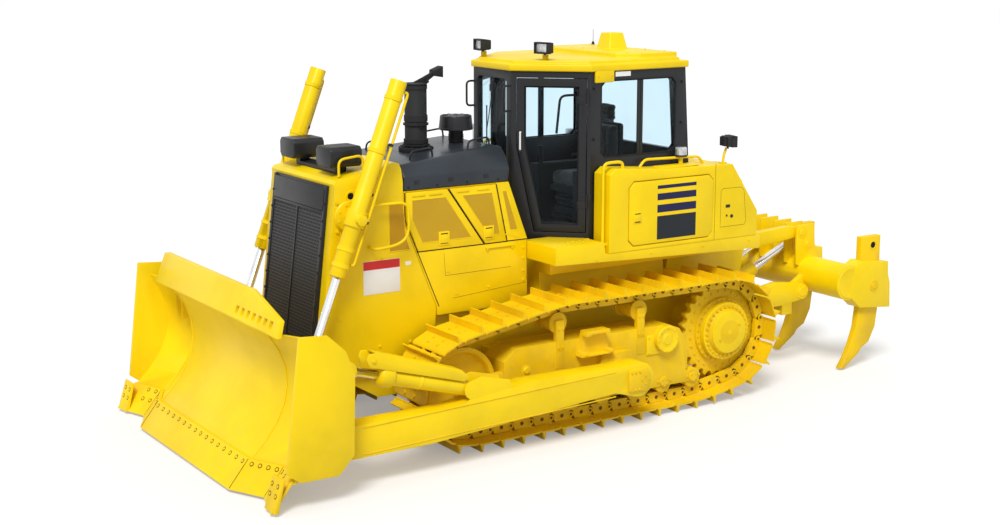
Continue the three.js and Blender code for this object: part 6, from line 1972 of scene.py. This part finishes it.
    def deck(self) -> None:
        """Makes the deck with its grip studs and bolts, the hull, the side boxes, the fuel tank and
        its cap.
        """
        dressed("deck", YELLOW, 0.008)
        dressed("hull", YELLOW, 0.006)
        for name in ("left", "right"):
            dressed(f"console_{name}", YELLOW, 0.022, segments=4)
        dressed("fuel_tank", YELLOW, 0.018, segments=3)
        grips = Piece("deck_grip_studs", YELLOW)
        bolts = Piece("deck_bolts", YELLOW)
        for side in (-1, 1):
            for row in range(7):
                for step in range(4):
                    spot = at(side * (0.90 + step * 0.055), 1.06 + row * 0.07, 1.7550)
                    grips.rod(spot, spot + Vector((0, 0, 0.004)), 0.010, 0.007, 8)
            bolts.bolts([at(side * x, back, 1.7552) for x in (0.885, 1.09)
                         for back in (1.02, 1.52)], Vector((0, 0, 1)), 0.009)
            bolts.bolts([at(side * 1.115, back, 1.60) for back in (1.45, 2.1, 2.75, 3.35)],
                        Vector((side, 0, 0)), 0.010)
        grips.done()
        bolts.done()
        cap = Piece("tank_cap", BLACK)
        spot = surface_top("fuel_tank", 0.30, 3.05)
        cap.turned(spot, Vector((0, 0, 1)), [(0.0, 0.052), (0.045, 0.052), (0.052, 0.044),
                                             (0.055, 0.016), (0.068, 0.014), (0.070, -0.004)], 32)
        cap.done()

    def build(self) -> None:
        """Makes everything round the cab."""
        self.deck()
        self.latches()
        self.films()
        self.rails()


# ---- ripper ------------------------------------------------------------------------------
@dataclass
class Ripper:
    """The ripper: arms, links, beam, shanks with teeth and two cylinders."""

    pins: tuple[tuple[float, float], ...] = ((4.700, 1.440), (4.790, 1.300))
    shanks: tuple[float, ...] = (-1.0, 0.0, 1.0)
    front: float = 5.025
    rear: float = 5.310

    def shank(self, x: float, name: str) -> None:
        """Makes a shank with its tooth, pin and holder.

        Args:
            x: Its middle.
            name: "left", "middle" or "right".
        """
        dressed(f"ripper_shank_{name}", TRACK_YELLOW, 0.007)
        fittings = Piece(f"ripper_shank_{name}_fittings", TRACK_YELLOW)
        for side in (-1, 1):
            way = Vector((side, 0, 0))
            face = at(x + side * 0.0385, 0, 0)
            fittings.turned(Vector((face.x, at(0, 5.198, 0).y, 1.341)), way,
                            [(0.034, 0.0), (0.037, 0.004), (0.050, 0.004), (0.053, -0.002)], 28)
            outer = at(x + side * 0.0922, 0, 0)
            hub = Vector((outer.x, at(0, 5.185, 0).y, 0.905))
            fittings.turned(hub, way, [(0.0, 0.014), (0.030, 0.014), (0.036, 0.008),
                                       (0.058, 0.008), (0.062, -0.003)], 32)
            fittings.bolts(disc_of(hub + way * 0.008, way, 0.047, 4), way, 0.006)
            tooth = at(x + side * 0.0382, 4.90, 0.125)
            fittings.rod(tooth - way * 0.003, tooth + way * 0.003, 0.016, sides=16)
        fittings.done("ripper_beam")
        # Black discs on the shank's sides: painted shade inside its pin hole.
        hole = Piece(f"ripper_shank_{name}_hole", SHADOW)
        for side in (-1, 1):
            face = x + side * 0.0381
            spot = Vector((face, at(0, 5.198, 0).y, 1.341))
            hole.rod(spot, spot + Vector((side * 0.0012, 0, 0)), 0.033, sides=24)
        hole.done("ripper_beam")

    def build(self) -> None:
        """Makes the ripper."""
        for x, name in zip(self.shanks, ("right", "middle", "left")):
            self.shank(x, name)
        dressed("ripper_beam", YELLOW, 0.006)
        dressed("ripper_arm", YELLOW, 0.006)
        dressed("ripper_link", YELLOW, 0.006)
        for name in ("left", "right"):
            dressed(f"ripper_cylinder_{name}", YELLOW, 0.004)
            dressed(f"ripper_rod_{name}", CHROME, 0.0)
        caps = Piece("ripper_beam_caps", YELLOW)
        for side in (-1, 1):
            way = Vector((side, 0, 0))
            end = at(side * 1.0852, 4.830, 0.975)
            caps.turned(end, way, [(0.0, 0.003), (0.13, 0.003), (0.134, 0.0065), (0.165, 0.0065),
                                   (0.172, 0.0)], 40)
            for back, z in self.pins:
                for x in (0.4755, 0.2955):
                    spot = at(side * x, back, z)
                    caps.turned(spot, way, [(0.0, 0.010), (0.034, 0.010), (0.040, 0.004),
                                            (0.062, 0.004), (0.064, -0.002)], 28)
        caps.done("ripper_beam")
        arms = Piece("ripper_arm_caps", YELLOW)
        for side in (-1, 1):
            way = Vector((side, 0, 0))
            for back, z in ((4.540, 0.840), (3.640, 0.800)):
                spot = at(side * 0.6755, back, z)
                arms.turned(spot, way, [(0.0, 0.012), (0.05, 0.012), (0.058, 0.005), (0.080, 0.005),
                                        (0.083, -0.002)], 32)
                arms.bolts(disc_of(spot + way * 0.005, way, 0.068, 6), way, 0.007)
        arms.done("ripper_arm")


# ---- floor, light and camera -------------------------------------------------------------
@dataclass
class Studio:
    """Plain pale floor, soft light and the camera."""

    camera: Point = (12.95, -7.32, 4.56)
    pitch: float = -11.394
    yaw: float = 56.987
    lens: float = 57.34
    shift_y: float = -0.0023

    def build(self) -> None:
        """Makes the camera, the floor, the world and the lamp."""
        data = bpy.data.cameras.new("camera")
        data.lens, data.sensor_width = self.lens, 36.0
        data.shift_y = self.shift_y
        data.clip_end = 200.0
        camera = bpy.data.objects.new("camera", data)
        camera.location = at(*self.camera)
        camera.rotation_euler = (math.radians(90 + self.pitch), 0, math.radians(self.yaw))
        bpy.context.scene.collection.objects.link(camera)
        bpy.context.scene.camera = camera
        self.floor()
        self.world()
        sun = bpy.data.lights.new("key_light", "SUN")
        sun.energy, sun.angle = 2.6, math.radians(20)
        lamp = bpy.data.objects.new("key_light", sun)
        lamp.rotation_euler = (math.radians(38), math.radians(8), math.radians(38))
        bpy.context.scene.collection.objects.link(lamp)
        scene = bpy.context.scene
        scene.view_settings.view_transform = "Standard"

    def floor(self) -> None:
        """Makes the floor, white where no shadow falls."""
        mesh = bmesh.new()
        bmesh.ops.create_grid(mesh, x_segments=1, y_segments=1, size=60.0)
        data = bpy.data.meshes.new("floor")
        mesh.to_mesh(data)
        mesh.free()
        floor = bpy.data.objects.new("floor", data)
        bpy.context.scene.collection.objects.link(floor)
        paint = bpy.data.materials.new("floor paint")
        paint.use_nodes = True
        tree = paint.node_tree
        tree.nodes.clear()
        path = tree.nodes.new("ShaderNodeLightPath")
        seen = math_node(tree, "MAXIMUM", path.outputs["Is Camera Ray"],
                         math_node(tree, "MAXIMUM", path.outputs["Is Glossy Ray"],
                                   path.outputs["Is Transmission Ray"]))
        matt = tree.nodes.new("ShaderNodeBsdfDiffuse")
        matt.inputs["Color"].default_value = (0.62, 0.62, 0.62, 1)
        glow = tree.nodes.new("ShaderNodeEmission")
        tree.links.new(math_node(tree, "MULTIPLY", seen, 0.29), glow.inputs["Strength"])
        both = tree.nodes.new("ShaderNodeAddShader")
        tree.links.new(matt.outputs[0], both.inputs[0])
        tree.links.new(glow.outputs[0], both.inputs[1])
        out = tree.nodes.new("ShaderNodeOutputMaterial")
        tree.links.new(both.outputs[0], out.inputs["Surface"])
        data.materials.append(paint)

    def world(self) -> None:
        """Lights everything evenly, and shows white where the machine isn't."""
        world = bpy.data.worlds.new("studio")
        world.use_nodes = True
        tree = world.node_tree
        back = tree.nodes["Background"]
        path = tree.nodes.new("ShaderNodeLightPath")
        seen = math_node(tree, "MAXIMUM", path.outputs["Is Camera Ray"],
                         math_node(tree, "MAXIMUM", path.outputs["Is Glossy Ray"],
                                   path.outputs["Is Transmission Ray"]))
        back.inputs["Color"].default_value = (1, 1, 1, 1)
        tree.links.new(math_node(tree, "ADD", math_node(tree, "MULTIPLY", seen, 0.40), 0.60),
                       back.inputs["Strength"])
        bpy.context.scene.world = world


def main() -> None:
    """Builds the whole machine."""
    logging.basicConfig(level=logging.INFO, format="%(name)s: %(message)s")
    Studio().build()
    for side, name in ((1, "left"), (-1, "right")):
        Chain().build(side, name)
        TrackWheels().build(side, name)
        TrackFrame().build(side, name)
        LiftCylinder().build(side, name)
    Blade().build()
    Front().build()
    Hood().build()
    Cab().build()
    SideBoxes().build()
    Ripper().build()


if __name__ == "__main__":
    main()
